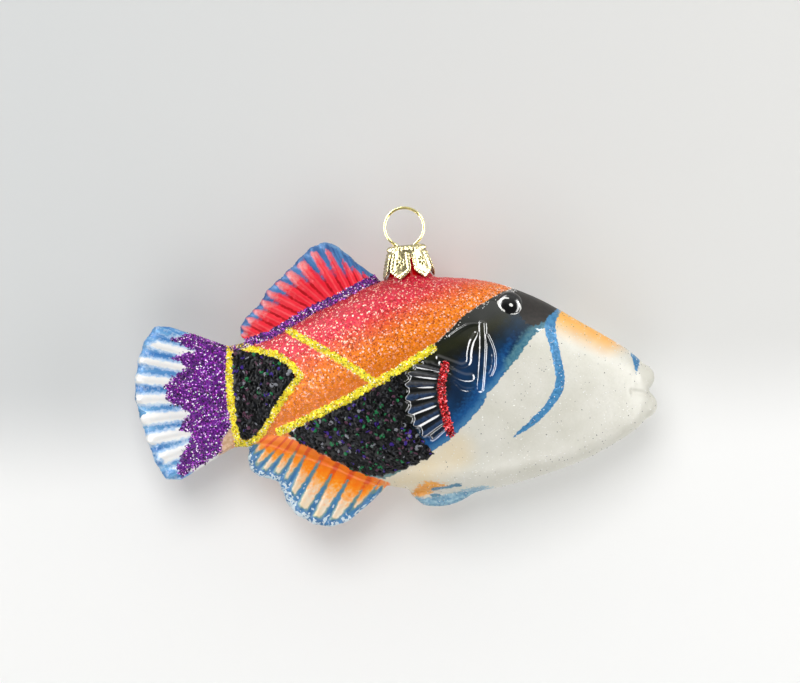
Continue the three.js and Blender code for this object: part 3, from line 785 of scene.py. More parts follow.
# The lacquers, area by area, first to last. Each has the edge of its area (field, from, to, and how
# far the brush strays), its roughness and its share of fine glitter, its two tones and the texture
# that mixes them, and then its layers: the edge of the layer in the same way, its own tones and
# texture, and how well it covers.
EVERYWHERE = None
AREAS = [
    (EVERYWHERE, 0.4, 0.05, ("d4d2c6", "dddbd1", "cloud"), [
        (("blush", -8, -1, 0), "ffaf28", "ffc350", "cloud", 0.92),
        (("belly_blush", -7, -0.5, 0), "e8d2a4", "e4d4b4", "cloud", 0.7),
        (("pelvic_spot", -0.5, 0.5, 1.2), "e08a1e", "f2b050", "brush", 1),
        (("pelvic_band", -0.3, 0.3, 1.1), "4682aa", "9cc0cc", "brush", 1),
        (("pelvic_line", -0.12, 0.12, 0.5), "3c6e96", "5a8ca0", "brush", 1),
    ]),
    (("trunk", -0.3, 0.3, 0.5), 0.36, 0.4, ("e67300", "ff9619", "grain"), [
        (("warmth", -3, 7, 2), "c80a2d", "e62346", "grain", 1),
        (("warmth", 7, 14, 2), "96001e", "b9052d", "grain", 1),
        # Pale specks are painted glints of the fine glitter grains, and dark specks painted shade of
        # grains turned away
        (("glint_and_shade_pick", 0.89, 0.91, 0), "ffaf87", "ffeee0", "grain", 0.9),
        (("glint_and_shade_pick", 0.18, 0.16, 0), "8c0500", "a02800", "grain", 0.7),
        (("warmth", -1, -8, 2), "be5a00", "dc7800", "grain", 0.85),
    ]),
    (("neck", -0.2, 0.3, 0.2), 0.12, 0, ("c8050f", "b4040c", "cloud"), []),
    (("tail_area", -0.15, 0.15, 0.3), 0.36, 0.1, ("f4f2ee", "e6e6e6", "streak"), [
        (("tail_strokes", -0.3, 0.3, 0.5), "c8dcf0", "5fa0d7", "streak", 0.95),
        (("tail_strokes", 0.3, 0.8, 0.6), "64aadc", "1e64af", "streak", 0.9),
        (("fleck", 0.66, 0.8, 0), "f0f0f0", "d2e6f5", "brush", 0.25),
    ]),
    (("dorsal_area", -0.15, 0.15, 0.3), 0.36, 0.05, ("e6142d", "fa3746", "streak"), [
        # Paler pink along the ray crests is a painted highlight, and the dark red in the grooves painted
        # shade
        (("groove", 0.12, 0, 0.1), "ff7878", "ff9696", "streak", 0.25),
        (("groove", 0.8, 1, 0.2), "b4000f", "aa0014", "streak", 1),
        (("fin_out", 0.7, 1, 0.2), "f09696", "f0beb9", "streak", 0.7),
        (("dorsal_strokes", -0.8, 0.1, 0.4), "a05078", "825a8c", "streak", 0.5),
        (("dorsal_strokes", -0.15, 0.2, 0.35), "28508c", "5087be", "streak", 1),
        (("dorsal_strokes", 0.9, 1.5, 0.8), "96b9d7", "5a91c3", "brush", 0.6),
    ]),
    (("anal_area", -0.3, 0.3, 0.4), 0.36, 0.05, ("ff7800", "ff8c0a", "streak"), [
        # The darker red-orange in the grooves between the rays is painted shade
        (("groove", 0.6, 1, 0.2), "eb4600", "dc3c00", "streak", 0.85),
        (("fin_out", 0.3, 0.55, 0.2), "ff9b0f", "ffb432", "streak", 0.8),
        (("fin_out", 0.42, 0.82, 0.2), "f0dcb4", "f0e8dc", "streak", 0.9),
        (("anal_strokes", -0.25, 0.15, 0.3), "6e9682", "46879b", "streak", 0.95),
        (("anal_strokes", 0.1, 0.5, 0.3), "1e64a0", "4687be", "streak", 0.9),
        (("margin_fleck", 0.2, 0.3, 0), "d7ebf0", "f0f5f5", "brush", 0.8),
    ]),
    (("mask", -0.12, 0.12, 0.5), 0.07, 0, ("0f120e", "1a1e18", "cloud"), [
        (("olive", -2.6, -0.4, 1), "2d2d0f", "242812", "brush", 0.6),
        (("from_edge", 9.5, 4.5, 1), "0d2430", "123a5a", "cloud", 1),
        (("glow", -4.2, -0.6, 1), "06284b", "0a3764", "cloud", 0.7),
        (("low_rim", -2, 1.5, 1.4), "104480", "1a5890", "brush", 1),
        (("from_edge", 2.3, 0.6, 1.2), "3778af", "5f9bbe", "brush", 0.6),
        (("front_rim", -1, 1, 0.8), "3c7382", "6496a0", "brush", 0.7),
        (("rear_rim", -0.8, 0.8, 0.6), "466e6e", "508282", "brush", 1),
        # The pectoral fan is painted near black, with navy and olive-grey only on its ridge tops: the
        # black between the ridges is painted shade
        (("crest", 0.2, 0.5, 0), "05070a", "0a0c0f", "brush", 0.85),
        (("crest", 0.85, 1.15, 0.2), "1e3250", "2d4669", "brush", 0.9),
        (("upper_crest", 0.85, 1.15, 0.2), "37342c", "4b463c", "brush", 0.8),
    ]),
    (("brow", -0.2, 0.2, 0.8), 0.5, 0, ("242220", "302c29", "brush"), []),
    (("touches", -0.1, 0.1, 0.35), 0.32, 0.3, ("3273a5", "5091be", "brush"), []),
    (("bare_patch", -0.3, 0.3, 0.9), 0.4, 0.1, ("e1c3a5", "c89b73", "brush"), []),
    (("purple_patch", -0.25, 0.25, 1.2), 0.3, 1, ("2d0450", "7d1ea0", "grain"), []),
    (("flakes", -0.15, 0.15, 0.6), 0.4, 0, ("08080a", "121214", "grain"), []),
    (("yellow_line", -0.15, 0.15, 0.8), 0.3, 1, ("e6d20a", "fff03c", "grain"), []),
    (("purple_line", -0.15, 0.15, 0.8), 0.3, 1, ("280a4b", "6e3296", "grain"), []),
    (("red_line", -0.1, 0.2, 0.4), 0.3, 1, ("780408", "c8141c", "grain"), []),
]
GLITTER_DUST = 0.36  # mm across the grains of the fine glitter
# Brush marks, the airbrush's slow unevenness and loose flecks: mm from one to the next, and detail
MARKS = {"brush": (0.9, 4), "cloud": (6, 2), "fleck": (0.8, 1)}
STREAKS = (2.6, 4)  # bristle streaks to a ray, and detail
CONTRAST = {1: 0.32, 2: 0.68}  # the values of the noise that become 0 and 1
BRUSH_RELIEF = 0.04  # mm
COATED = {"full": 0.15, "none": 0.3}  # the roughness with a full clear coat, and with none


# Airbrushed and brushed lacquers over silvered glass: satin for the most part, a thick clear gloss on
# the head mask and the neck. Fine glitter in the wet lacquer shows as small facets at random tilts,
# and as pale and dark specks painted into the colour, which are painted glints and painted shade.


def lacquer_material():
    material, tree = new_material("lacquered_silvered_glass")
    place = add(tree, "TexCoord", out="Object")
    read = ("fin_ray", "fin_out", "anal_strokes")
    ray, outward, margin = (add(tree, "Attribute", attribute_name=name, out="Fac") for name in read)
    on_fin = add(tree, "CombineXYZ", {0: ray, 1: outward})
    patterns = {name: (place, 1 / (pitch * MM), detail) for name, (pitch, detail) in MARKS.items()}
    patterns["streak"] = (on_fin, *STREAKS)
    textures = {}
    for name, (vector, scale, detail) in patterns.items():
        noise = add(tree, "TexNoise", {"Vector": vector, "Scale": scale, "Detail": detail})
        textures[name] = add(tree, "MapRange", {0: noise} | CONTRAST)
    cells = add(tree, "TexVoronoi", {"Vector": place, "Scale": 1 / (GLITTER_DUST * MM)}, out="Color")
    for channel, name in enumerate(("grain", "glint_and_shade_pick")):
        textures[name] = add(tree, "SeparateColor", {0: cells}, out=channel)
    turn = add(tree, "Math", {0: ray, 1: 2 * math.pi}, operation="MULTIPLY")
    wave = add(tree, "Math", {0: turn}, operation="COSINE")
    textures["groove"] = add(tree, "Math", {0: wave, 1: -0.5, 2: 0.5}, operation="MULTIPLY_ADD")
    rubbed = add(tree, "Math", {0: textures["fleck"], 1: margin}, operation="MULTIPLY")
    textures["margin_fleck"] = add(tree, "Math", {0: rubbed, 1: 0.3}, operation="SUBTRACT")

    def cover(field, start, end, stray, strength=1):
        """How well a layer covers here: its field, roughened by the brush, between two values."""
        value = textures.get(field) or add(tree, "Attribute", attribute_name=field, out="Fac")
        value = add(tree, "Math", {0: textures["brush"], 1: stray, 2: value}, operation="MULTIPLY_ADD")
        limits = {0: value, 1: start + stray / 2, 2: end + stray / 2, 4: strength}
        return add(tree, "MapRange", limits, interpolation_type="SMOOTHSTEP")

    for edge, roughness, glitter, ground, layers in AREAS:
        for limits, first, second, texture, strength in ((EVERYWHERE, *ground, 1), *layers):
            tones = {0: textures[texture], 6: colour(first), 7: colour(second)}
            tone = add(tree, "Mix", tones, out=2, data_type="RGBA")
            if limits != EVERYWHERE:
                laid = {0: cover(*limits, strength), 6: area, 7: tone}
                tone = add(tree, "Mix", laid, out=2, data_type="RGBA")
            area = tone
        if edge == EVERYWHERE:
            paint, rough, dust = area, roughness, glitter
            continue
        share = cover(*edge)
        paint = add(tree, "Mix", {0: share, 6: paint, 7: area}, out=2, data_type="RGBA")
        rough = add(tree, "Mix", {0: share, 2: rough, 3: roughness})
        dust = add(tree, "Mix", {0: share, 2: dust, 3: glitter})

    tilt = add(tree, "VectorMath", {0: cells, 1: (0.5, 0.5, 0.5)}, operation="SUBTRACT")
    tilt = add(tree, "VectorMath", {0: tilt, "Scale": dust}, operation="SCALE")
    facet = add(tree, "VectorMath", {0: tilt, 1: add(tree, "NewGeometry", out="Normal")}, operation="ADD")
    facet = add(tree, "VectorMath", {0: facet}, operation="NORMALIZE")
    matt = add(tree, "MapRange", {0: rough, 1: COATED["full"], 2: COATED["none"], 4: 0.3})
    gloss = add(tree, "MapRange", {0: rough, 1: COATED["none"], 2: COATED["full"]})
    marks = {"Height": textures["brush"], "Distance": BRUSH_RELIEF * MM, "Strength": matt}
    film = add(tree, "MapRange", {0: textures["glint_and_shade_pick"], 1: 0.6, 2: 0.65, 4: 0.3})
    film = add(tree, "Math", {0: film, 1: dust}, operation="MULTIPLY")
    coat(tree, {
        "Base Color": paint, "Roughness": rough, "Metallic": film, "IOR": 1.5,
        "Specular IOR Level": 0.15, "Coat Weight": gloss,
        "Normal": add(tree, "Bump", marks | {"Normal": facet}),
    })
    return material


# Glitter: flakes scattered on the skin, each a small closed plate with its own tilt


def surface_samples(mesh, count, rng):
    """Even random places on the skin, in the mould's frame, with their normals."""
    mesh.calc_loop_triangles()
    corner = np.empty(3 * len(mesh.loop_triangles), np.int32)
    mesh.loop_triangles.foreach_get("vertices", corner)
    corner = corner.reshape(-1, 3)
    points = points_of(mesh)
    a, b, c = (points[corner[:, i]] for i in range(3))
    normal = np.cross(b - a, c - a)
    size = np.linalg.norm(normal, axis=1)
    chosen = rng.choice(len(corner), count, p=size / size.sum())
    u, v = rng.random((2, count, 1))
    turned = u + v > 1
    u, v = np.where(turned, 1 - u, u), np.where(turned, 1 - v, v)
    spot = a[chosen] + u * (b[chosen] - a[chosen]) + v * (c[chosen] - a[chosen])
    return spot, normal[chosen] / size[chosen, None], size.sum() / 2


def plate_template(sides, thickness):
    """A thin closed flake 1 across: a tapered polygon plate, or a flat double pyramid."""
    bm = bmesh.new()
    if sides == 4:
        bmesh.ops.create_uvsphere(bm, u_segments=4, v_segments=2, radius=0.5)
        bmesh.ops.scale(bm, vec=(1, 1, 2 * thickness), verts=bm.verts)
    else:
        bmesh.ops.create_cone(
            bm, cap_ends=True, segments=sides, radius1=0.5, radius2=0.44, depth=thickness,
        )
    bm.verts.index_update()
    verts = np.array([v.co for v in bm.verts])
    faces = [[v.index for v in f.verts] for f in bm.faces]
    bm.free()
    return verts, faces


def flakes(name, spots, normals, rng, look):
    """One joined piece of flakes: a template copied to every spot."""
    verts, faces = plate_template(look["sides"], look["thickness"])
    count = len(spots)
    facing = normals + look["tilt"] * rng.normal(size=(count, 3))
    facing /= np.linalg.norm(facing, axis=1)[:, None]
    side = np.cross(facing, rng.normal(size=(count, 3)))
    side /= np.linalg.norm(side, axis=1)[:, None]
    third = np.cross(facing, side)
    shape = verts[None] * look["size"] * rng.uniform(0.75, 1.2, (count, 1, 1))
    body = shape[..., :1] * side[:, None] + shape[..., 1:2] * third[:, None]
    body = body + shape[..., 2:] * facing[:, None]
    body = body + (spots + normals * look["lift"])[:, None]
    body[..., 2] = np.maximum(body[..., 2], TABLE)
    corners = np.concatenate([np.array(f) for f in faces])
    starts = np.cumsum([0] + [len(f) for f in faces[:-1]])
    steps = np.arange(count)[:, None]
    mesh = bpy.data.meshes.new(name)
    mesh.vertices.add(count * len(verts))
    mesh.loops.add(count * len(corners))
    mesh.polygons.add(count * len(faces))
    mesh.loops.foreach_set("vertex_index", (corners[None] + steps * len(verts)).ravel())
    mesh.polygons.foreach_set("loop_start", (starts[None] + steps * len(corners)).ravel())
    set_points(mesh, to_row(body.reshape(-1, 3)))
    mesh.validate()
    for label, values in (("shade", rng.random(count)), ("warmth", warmth_at(*spots.T[:2]))):
        write_field(mesh, label, np.repeat(values, len(verts)))
    across = math.ceil(math.sqrt(count))
    cell = np.column_stack((np.arange(count) % across, np.arange(count) // across))
    uv = (cell[:, None] + 0.5 + 0.6 * verts[None, :, :2]) / across
    layer = mesh.uv_layers.new(name="OFBake")
    layer.data.foreach_set("uv", uv[:, corners].astype(np.float32).ravel())
    return mesh


# Films: their dyes, metallic share, roughness, specular level, and whether the lacquer shows through.
# The white and near-white shades are painted glints of flakes catching the light, as are the black film's
# greys, green and violet; the darkest shades of the yellow, purple and red films are painted shade.
FILMS = {
    "black": ([
        "040405", "09090b", "2a2c31", "060607", "18191c", "08080a", "101012", "050506", "8c8e96",
        "09090b", "222327", "1e7846", "070708", "18191e", "070708", "26272b", "41288c", "08080a",
        "0a0a0e", "3a3c42", "121216", "0c0c0f", "5f3c50", "060607",
    ], 0, 0.2, 0.07),
    "yellow": ([
        "fff032", "f0dc0a", "ffff82", "b4a500", "ffe61e", "e1a50a", "fffff0", "f5dc0f", "8c9614",
    ], 0.15, 0.25, 0.4),
    "purple": ([
        "3c055f", "b428d2", "14021e", "e678fa", "50087a", "ffffff", "0f0218", "a01eb4", "23043c",
        "ffe6ff", "780f96", "19042d", "dc8cf5", "3c0564", "b432b4",
    ], 0.3, 0.16, 0.4),
    "red": (["a80a14", "e61e28", "5a0008", "ff7880", "c01018", "3c0004"], 0.35, 0.18, 0.5),
    "clear": ([
        "ffe6be", "fff5eb", "ff9b73", "ffc396", "e15f41", "fff0dc", "ffffff", "ffaf82",
    ], 0.1, 0.18, 0.4, True),
    "pearl": (["ffffff", "fffaf0", "ffffff", "ffffff", "6e6e6e"], 0.1, 0.18, 0.5),
}
# Tones of the clear film over orange and over red, the warmth where they meet, and its share at most
CLEAR_TONES = {"orange": "fa8c14", "red": "dc1437", "from": -6, "to": 4, "film": 0.8}


# Cut polyester film, from a quarter of a millimetre to just over one across: flat bright facets, and its
# dye takes one shade from the list; the lists hold painted glints and painted shade among the dyes. On
# the trunk the clear film takes the tone of the lacquer under it.
def glitter_material(name, shades, metallic, roughness, specular, over_lacquer=False):
    material, tree = new_material(name)
    shade = add(tree, "Attribute", attribute_name="shade", out="Fac")
    dye_with_painted_glints_and_shade = add(tree, "ValToRGB", {0: shade})
    stops = dye_with_painted_glints_and_shade.node.color_ramp
    stops.interpolation = "CONSTANT"
    stops.elements.remove(stops.elements[0])
    for i, value in enumerate(shades):
        stop = stops.elements.new(i / len(shades)) if i else stops.elements[0]
        stop.position = i / len(shades)
        stop.color = colour(value)
    if over_lacquer:
        warmth = add(tree, "Attribute", attribute_name="warmth", out="Fac")
        red = add(tree, "MapRange", {0: warmth, 1: CLEAR_TONES["from"], 2: CLEAR_TONES["to"]})
        tones = {0: red, 6: colour(CLEAR_TONES["orange"]), 7: colour(CLEAR_TONES["red"])}
        under = add(tree, "Mix", tones, out=2, data_type="RGBA")
        share = add(tree, "MapRange", {0: shade, 1: 0.3, 2: 1.0, 4: CLEAR_TONES["film"]})
        dye_with_painted_glints_and_shade = add(tree, "Mix", {0: share, 6: under, 7: dye_with_painted_glints_and_shade}, out=2, data_type="RGBA")
    coat(tree, {
        "Base Color": dye_with_painted_glints_and_shade, "Metallic": metallic, "Roughness": roughness, "Specular IOR Level": specular,
    })
    return material


# Crown cap, hanger and eyes

CAP = {
    "petals": 6, "turn": 0.16, "tip": 2.4, "tip_power": 1.4, "slit": 0.05, "slit_top": 5.7,
    "slit_widening": 1.5, "wall": 0.28, "columns": 40, "skirt_radius": 5.8,
}
# Outside of the cap from the petal tips up: radius, height
CAP_SKIRT = [(6.3, -0.1), (6.15, 1.1), (5.9, 2.4), (5.55, 3.8), (5.15, 5.2), (4.85, 6.5), (4.7, 7.3)]
CAP_CROWN = [(4.55, 7.8), (4.2, 8.05), (3.2, 8.15), (1.8, 8.1), (0.3, 8.05)]
# Stamped marks in mm: the star in the middle of each petal, the beads round it and those of the collar
STAR = {"height": 4.1, "radius": 1.15, "groove": 0.32, "arms": 6, "hub": (0.3, 0.55), "edge": 0.3}
BORDER = {
    "pitch": 0.8, "slant": 0.55, "bead": 0.26, "base": 0.06, "inset": 0.5, "half": 0.55, "edge": 0.35,
}
PETAL = {"half": 3.05, "narrowing": 0.08, "foot": 0.8, "top": 6.6, "fade": 0.5}
COLLAR = {"beads": 30, "bead": 0.3, "base": 0.05, "height": 7.35, "half": 0.42}


def cap_emboss(across, height, margin, around):
    """Stamped relief: beads round each petal, a six-armed mark in its middle and a beaded collar."""
    star = math.hypot(across, height - STAR["height"])
    arm = math.cos(STAR["arms"] * math.atan2(across, height - STAR["height"]))
    mark = ramp(arm, 0.1, 0.8) * ramp(star, *STAR["hub"]) * ramp(STAR["radius"] - star, 0, STAR["edge"])
    to_side = PETAL["half"] - abs(across) - PETAL["narrowing"] * height
    to_edge = min((height - margin) * PETAL["foot"], to_side)
    along = (height + BORDER["slant"] * abs(across)) / BORDER["pitch"]
    bead = 0.5 + 0.5 * math.cos(2 * math.pi * along)
    border = BORDER["base"] + BORDER["bead"] * bead
    border *= ramp(BORDER["half"] - abs(to_edge - BORDER["inset"]), 0, BORDER["edge"])
    knob = 0.5 + 0.5 * math.cos(COLLAR["beads"] * around)
    collar = (COLLAR["base"] + COLLAR["bead"] * knob) * bell(height - COLLAR["height"], COLLAR["half"])
    return (border - STAR["groove"] * mark) * ramp(PETAL["top"] - height, 0, PETAL["fade"]) + collar


def crown_cap():
    profile = [tuple(p) for p in smooth_path(CAP_SKIRT, 8)] + CAP_CROWN
    bm = spun(profile, CAP["petals"] * CAP["columns"])
    bmesh.ops.remove_doubles(bm, verts=bm.verts, dist=1e-4)
    pitch = 2 * math.pi / CAP["petals"]
    foot, top = CAP_SKIRT[0][1], CAP_SKIRT[-1][1]
    slits = []
    for face in bm.faces:
        middle = face.calc_center_median()
        turn = (math.atan2(middle.x, middle.z) - CAP["turn"]) / pitch
        width = CAP["slit"] * (CAP["slit_widening"] - middle.y / CAP["slit_top"])
        if abs(turn - round(turn)) * pitch < width and middle.y < CAP["slit_top"]:
            slits.append(face)
    bmesh.ops.delete(bm, geom=slits, context="FACES")
    raised = bm.verts.layers.float.new("raised")
    for vert in bm.verts:
        x, height, z = vert.co
        radius, around = math.hypot(x, z), math.atan2(x, z)
        turn = (around - CAP["turn"]) / pitch - 0.5
        across = (turn - round(turn)) * pitch  # the angle from the petal's middle
        margin = foot + CAP["tip"] * abs(2 * across / pitch) ** CAP["tip_power"]
        if height < top:
            height = margin + (height - foot) * (top - margin) / (top - foot)
        vert[raised] = cap_emboss(across * CAP["skirt_radius"], height, margin, around)
        radius += vert[raised]
        vert.co = (radius * math.sin(around), height, radius * math.cos(around))
    bmesh.ops.recalc_face_normals(bm, faces=bm.faces)
    bmesh.ops.solidify(bm, geom=bm.faces[:], thickness=CAP["wall"])
    return fitting(bm, "crown_cap_stamped")


def hanger_path():
    """The open loop, whose ends run straight on into the cap's two holes."""
    radius, centre = HANGER["radius"], HANGER["centre"]
    end = math.acos(HANGER["leg_spread"] / radius)
    turns = np.linspace(-end, math.pi + end, 97)
    loop = np.column_stack((radius * np.cos(turns), centre + radius * np.sin(turns)))
    into = HANGER["into_cap"] * np.array([math.sin(end), math.cos(end)])
    return [tuple(loop[0] - into), *map(tuple, loop), tuple(loop[-1] + into * (1, -1))]


def swept(path, radius, sides=16):
    """A round wire along a flat path: a disc extruded from point to point."""
    bm = bmesh.new()
    ring = bmesh.ops.create_circle(bm, cap_ends=True, radius=radius, segments=sides)["verts"]
    disc = bm.faces[:]
    headings = [Vector((b[0] - a[0], b[1] - a[1], 0)) for a, b in zip(path[:-1], path[1:])]
    headings = [headings[0], *[a + b for a, b in zip(headings[:-1], headings[1:])], headings[-1]]
    turns = [2 * math.pi * i / sides for i in range(sides)]
    for step, (spot, heading) in enumerate(zip(path, headings)):
        if step:
            grown = bmesh.ops.extrude_face_region(bm, geom=disc)["geom"]
            bmesh.ops.delete(bm, geom=disc, context="FACES_ONLY")
            disc = [g for g in grown if isinstance(g, bmesh.types.BMFace)]
            ring = disc[0].verts[:]
        facing = heading.to_track_quat("Z", "Y").to_matrix().to_4x4()
        for vert, turn in zip(ring, turns):
            on_disc = Vector((radius * math.cos(turn), radius * math.sin(turn), 0))
            vert.co = Matrix.Translation((*spot, 0)) @ facing @ on_disc
    bmesh.ops.recalc_face_normals(bm, faces=bm.faces)
    return bm


# Gold-lacquered tinplate, stamped thin: pale and bright where it is raised, and painted olive-dark in the
# stamped marks as painted shade in the hollows
def cap_metal():
    material, tree = new_material("gold_lacquered_tinplate")
    place = add(tree, "TexCoord", out="Object")
    fine = add(tree, "TexNoise", {"Vector": place, "Scale": 1 / (0.6 * MM), "Detail": 4})
    raised = add(tree, "Attribute", attribute_name="raised", out="Fac")
    uneven = add(tree, "Math", {0: fine, 1: 0.16, 2: raised}, operation="MULTIPLY_ADD")
    tone = add(tree, "MapRange", {0: uneven, 1: -0.1, 2: 0.34})
    # Olive-dark where the emboss is low: painted shade in the stamped hollows
    tones = {0: tone, 6: colour("504a22"), 7: colour("e1d5a5")}
    gold_with_painted_hollow_shade = add(tree, "Mix", tones, out=2, data_type="RGBA")
    rough = add(tree, "MapRange", {0: fine, 1: 0.3, 2: 0.7, 3: 0.18, 4: 0.3})
    bump = add(tree, "Bump", {"Height": fine, "Distance": 0.05 * MM, "Strength": 0.4})
    coat(tree, {"Base Color": gold_with_painted_hollow_shade, "Metallic": 0.75, "Roughness": rough, "Normal": bump})
    return material


# Drawn brass wire: smooth and bright, its gloss a little uneven
def wire_metal():
    material, tree = new_material("drawn_brass_wire")
    place = add(tree, "TexCoord", out="Object")
    marks = add(tree, "TexNoise", {"Vector": place, "Scale": 1 / (0.7 * MM), "Detail": 3})
    rough = add(tree, "MapRange", {0: marks, 1: 0.3, 2: 0.7, 3: 0.12, 4: 0.2})
    coat(tree, {"Base Color": colour("ece09b"), "Metallic": 0.8, "Roughness": rough})
    return material


def eye_dome(side):
    bm = bmesh.new()
    bmesh.ops.create_uvsphere(bm, u_segments=128, v_segments=96, radius=1)
    height = float(flank(np.array([EYE["x"]]), np.array([EYE["y"]]))[0])
    size = Matrix.Diagonal((EYE["radius"], EYE["radius"], EYE["height"], 1))
    lean = Matrix.Rotation(-EYE["lean"], 4, "X")
    bmesh.ops.transform(bm, matrix=lean @ size, verts=bm.verts)
    bmesh.ops.translate(bm, vec=(EYE["x"], EYE["y"], height), verts=bm.verts)
    if side < 0:
        bmesh.ops.scale(bm, vec=(1, 1, -1), verts=bm.verts)
        bmesh.ops.recalc_face_normals(bm, faces=bm.faces)
    mesh = to_mesh(bm, "eye")
    places = points_of(mesh)
    write_field(mesh, "white_ring_and_painted_highlight", stroke_depth(EYE_STROKES, *drawn(places)))
    settle(mesh)
    shade_smooth(mesh)
    return mesh


# Black gloss lacquer, with the open ring of the eye painted on in white enamel, and a white dot on it
# that is a painted highlight
def eye_lacquer():
    material, tree = new_material("black_gloss_lacquer")
    ring = add(tree, "Attribute", attribute_name="white_ring_and_painted_highlight", out="Fac")
    white = add(tree, "MapRange", {0: ring, 1: -0.06, 2: 0.06})
    tones = {0: white, 6: colour("0c0d0f"), 7: colour("f4f4f0")}
    paint = add(tree, "Mix", tones, out=2, data_type="RGBA")
    coat(tree, {"Base Color": paint, "Roughness": 0.14, "IOR": 1.5})
    return material


# Floor, lights and camera


# The floor's tones, painted greyer at the back and the left as painted shade, and where it turns from the
# back's to the front's, in mm
FLOOR = {
    "left": "d4d6d6", "right": "e0e0de", "front": "f8f8f7", "turn_y": -14, "slope": 0.075, "soft": 17,
    "side_x": 90,
}
AIM = (0, 0, 0.02)  # what the lamps are turned to
# Lamps: size along and across, place, power in watts, and True where only gloss and metal show it
LAMPS = [
    ("overhead_panel", (0.5, 0.5), (-0.12, 0.42, 0.85), 4.4, False),
    ("front_panel", (0.6, 0.6), (-0.1, -0.5, 0.8), 1.9, False),
    ("right_panel", (0.5, 0.5), (0.65, -0.1, 0.35), 1.2, False),
    ("wall_left", (0.9, 0.22), (-0.5, 0.05, 0.22), 11, True),
    ("wall_right", (0.9, 0.22), (0.5, 0.05, 0.22), 11, True),
    ("wall_front", (0.9, 0.12), (0, -0.5, 0.19), 5.2, True),
    ("strip_back", (0.45, 0.08), (-0.28, 0.5, 0.04), 2.4, True),
]
# How bright the tent is at its sides, above and behind, and the directions over which that changes
TENT = {"low": 0.5, "high": 0.15, "back": 0.8, "rise": (0.25, 0.85), "behind": (0.4, 1)}
SENSOR = 36  # mm


def studio():
    """A paper floor in a light tent, with soft panels, and bright walls that only the gloss shows."""
    bm = bmesh.new()
    bmesh.ops.create_grid(bm, x_segments=1, y_segments=1, size=2)
    floor = placed("floor", to_mesh(bm, "floor"))
    # Matt paper, which has no gloss, with painted shade: greyer behind the object than in front of it and
    # greyer at the left
    material, tree = new_material("matt_paper_with_painted_shade")
    place = add(tree, "TexCoord", out="Object")
    across = add(tree, "SeparateXYZ", {0: place})
    up = add(tree, "SeparateXYZ", {0: place}, out=1)
    turn = add(tree, "Math", {0: across, 1: -FLOOR["slope"], 2: up}, operation="MULTIPLY_ADD")
    back_y, front_y = ((FLOOR["turn_y"] + soft) * MM for soft in (FLOOR["soft"], -FLOOR["soft"]))
    front = add(tree, "MapRange", {0: turn, 1: back_y, 2: front_y}, interpolation_type="SMOOTHSTEP")
    side = add(tree, "MapRange", {0: across, 1: -FLOOR["side_x"] * MM, 2: FLOOR["side_x"] * MM})
    tones = {0: side, 6: colour(FLOOR["left"]), 7: colour(FLOOR["right"])}
    behind = add(tree, "Mix", tones, out=2, data_type="RGBA")
    tones = {0: front, 6: behind, 7: colour(FLOOR["front"])}
    paper = add(tree, "Mix", tones, out=2, data_type="RGBA")
    coat(tree, {"Base Color": paper, "Roughness": 0.9})
    floor.data.materials.append(material)

    world = bpy.data.worlds.new("light_tent")
    bpy.context.scene.world = world
    world.use_nodes = True
    tree = world.node_tree
    sky = add(tree, "TexCoord", out="Generated")
    rise = add(tree, "SeparateXYZ", {0: sky}, out=2)
    low, high = TENT["rise"]
    strength = add(tree, "MapRange", {0: rise, 1: low, 2: high, 3: TENT["low"], 4: TENT["high"]})
    behind = add(tree, "SeparateXYZ", {0: sky}, out=1)
    low, high = TENT["behind"]
    behind = add(tree, "MapRange", {0: behind, 1: low, 2: high, 4: TENT["back"]})
    strength = add(tree, "Math", {0: strength, 1: behind}, operation="ADD")
    background = tree.nodes["Background"]
    background.inputs[0].default_value = colour("fafaf8")
    tree.links.new(strength, background.inputs[1])

    for name, (along, across), place, power, for_gloss in LAMPS:
        light = bpy.data.lights.new(name, "AREA")
        light.shape = "RECTANGLE"
        light.size, light.size_y = along, across
        light.energy = power
        lamp = placed(name, light)
        lamp.location = place
        lamp.rotation_euler = (Vector(AIM) - Vector(place)).to_track_quat("-Z", "Y").to_euler()
        lamp.visible_glossy = for_gloss
        lamp.visible_diffuse = not for_gloss


def camera():
    data = bpy.data.cameras.new("camera")
    data.sensor_width = SENSOR
    data.lens = SENSOR * VIEW["distance"] / VIEW["width"]
    item = placed("camera", data)
    aim = Vector(to_row([VIEW["x"], VIEW["y"], 0]))
    tip = math.radians(VIEW["tip"])
    item.location = aim + Vector((0, math.sin(tip), math.cos(tip))) * VIEW["distance"] * MM
    item.rotation_euler = (-tip, 0, 0)
    bpy.context.scene.camera = item


# Assembly

FLAKE_SEED = 7
FLAKE_SITES = 420000  # places on the skin that the glitters choose from
# How far flakes spread past each painted line, and how far they keep from an area's edge, in mm
LINE_SPREAD = {"yellow": 0.1, "purple": 0.15, "red": 0.1}
INSET = {"black": 0.1, "trunk": 0.2, "white": 0.5}
# The row of flakes along the top of the mask: half width, and the x where it begins
MASK_TOP = {"half": 1.1, "from_x": 10}
WHITE_FROM_X = -6  # the white belly's rear end

bpy.context.scene.view_settings.view_transform = "Standard"
rng = np.random.default_rng(FLAKE_SEED)
skin = skin_mesh()
for label, values in fields(*drawn(points_of(skin))).items():
    write_field(skin, label, values)
spots, normals, area = surface_samples(skin, FLAKE_SITES, rng)
density = len(spots) / area
settle(skin)
piece(
    "glass_skin", skin, lacquer_material(),
    ["head", "trunk", "tail_stem", "tail_fin", "dorsal_fin", "anal_fin", "pelvic_fin", "neck",
     "pectoral_fin_right", "pectoral_fin_left", "gill_cover_right", "gill_cover_left"],
)

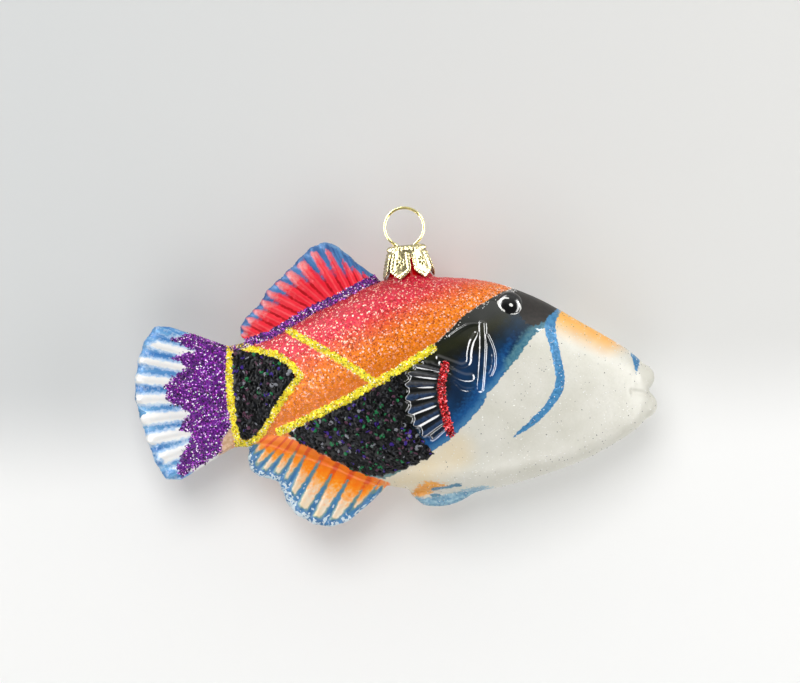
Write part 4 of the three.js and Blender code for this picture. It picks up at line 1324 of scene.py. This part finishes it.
sx, sy = drawn(spots)
in_line = {name: line_depth(name, sx, sy) > -spread for name, spread in LINE_SPREAD.items()}
in_black = (flake_depth(sx, sy) > INSET["black"]) & ~in_line["yellow"]
in_patch = (depth_in(PURPLE_PATCH, sx, sy) + glued_edge(sx, sy) > 0) & ~in_line["yellow"]
below_neck = (sy - CROWN.y) - NECK_EDGE["slope"] * (sx - CROWN.x) < -NECK_EDGE["gap"]
in_trunk = (depth_in(TRUNK, sx, sy) > INSET["trunk"]) & ~in_black & ~in_line["yellow"] & below_neck
for outline in (MASK, DORSAL_AREA, ANAL_AREA):
    in_trunk &= depth_in(outline, sx, sy) < 0
mask_top = distance_to(MASK[2:9], sx, sy)  # the mask's upper edge, behind the eye
at_mask_top = (mask_top < MASK_TOP["half"]) & (sx > MASK_TOP["from_x"])
in_white = ~in_trunk & ~in_black & (sx > WHITE_FROM_X) & below_neck
in_white &= depth_in(MASK, sx, sy) < -INSET["white"]

films = {name: glitter_material(name + "_film_flakes", *look) for name, look in FILMS.items()}
# Where each glitter lies, flakes per square millimetre, film and slot, and then the flakes' size in mm,
# thickness as a share of it, sides, tilt, and height over the glass in mm
SCATTERED = {
    "black_glitter": (in_black, 2.3, "black", "black_glitter_glass", 1.15, 0.1, 6, 0.3, 0.14),
    "yellow_glitter": (in_line["yellow"], 7, "yellow", "orange_red_glass", 0.5, 0.24, 4, 0.7, 0.1),
    "purple_glitter_line": (
        in_line["purple"], 6, "purple", "purple_white_glass", 0.5, 0.22, 4, 0.7, 0.1,
    ),
    "purple_glitter_tail": (in_patch, 6, "purple", "purple_white_glass", 0.5, 0.22, 4, 0.7, 0.1),
    "red_glitter": (in_line["red"], 5, "red", "blue_gloss_glass", 0.75, 0.2, 4, 0.7, 0.14),
    "trunk_glitter": (in_trunk, 3.4, "clear", "orange_red_glass", 0.26, 0.24, 4, 0.7, 0.05),
    "white_glitter": (in_white, 0.4, "pearl", "pearl_white_glass", 0.3, 0.24, 4, 0.8, 0.05),
    "mask_top_glitter": (at_mask_top, 1.2, "pearl", "blue_gloss_glass", 0.34, 0.24, 4, 0.8, 0.06),
}
for name, (wanted, per_mm2, film, slot, *sizes) in SCATTERED.items():
    keep = wanted & (rng.random(len(spots)) < per_mm2 / density)
    look = dict(zip(("size", "thickness", "sides", "tilt", "lift"), sizes))
    piece(name, flakes(name, spots[keep], normals[keep], rng, look), films[film])

piece("crown_cap_stamped", crown_cap(), cap_metal(), ["crown_cap"])
wire = fitting(swept(hanger_path(), HANGER["wire"]), "hanger_wire_bent")
piece("hanger_wire_bent", wire, wire_metal(), ["hanger_wire"])
lacquer = eye_lacquer()
piece("eye_dome_right", eye_dome(1), lacquer, ["eye_right"])
piece("eye_dome_left", eye_dome(-1), lacquer, ["eye_left"])

studio()
camera()
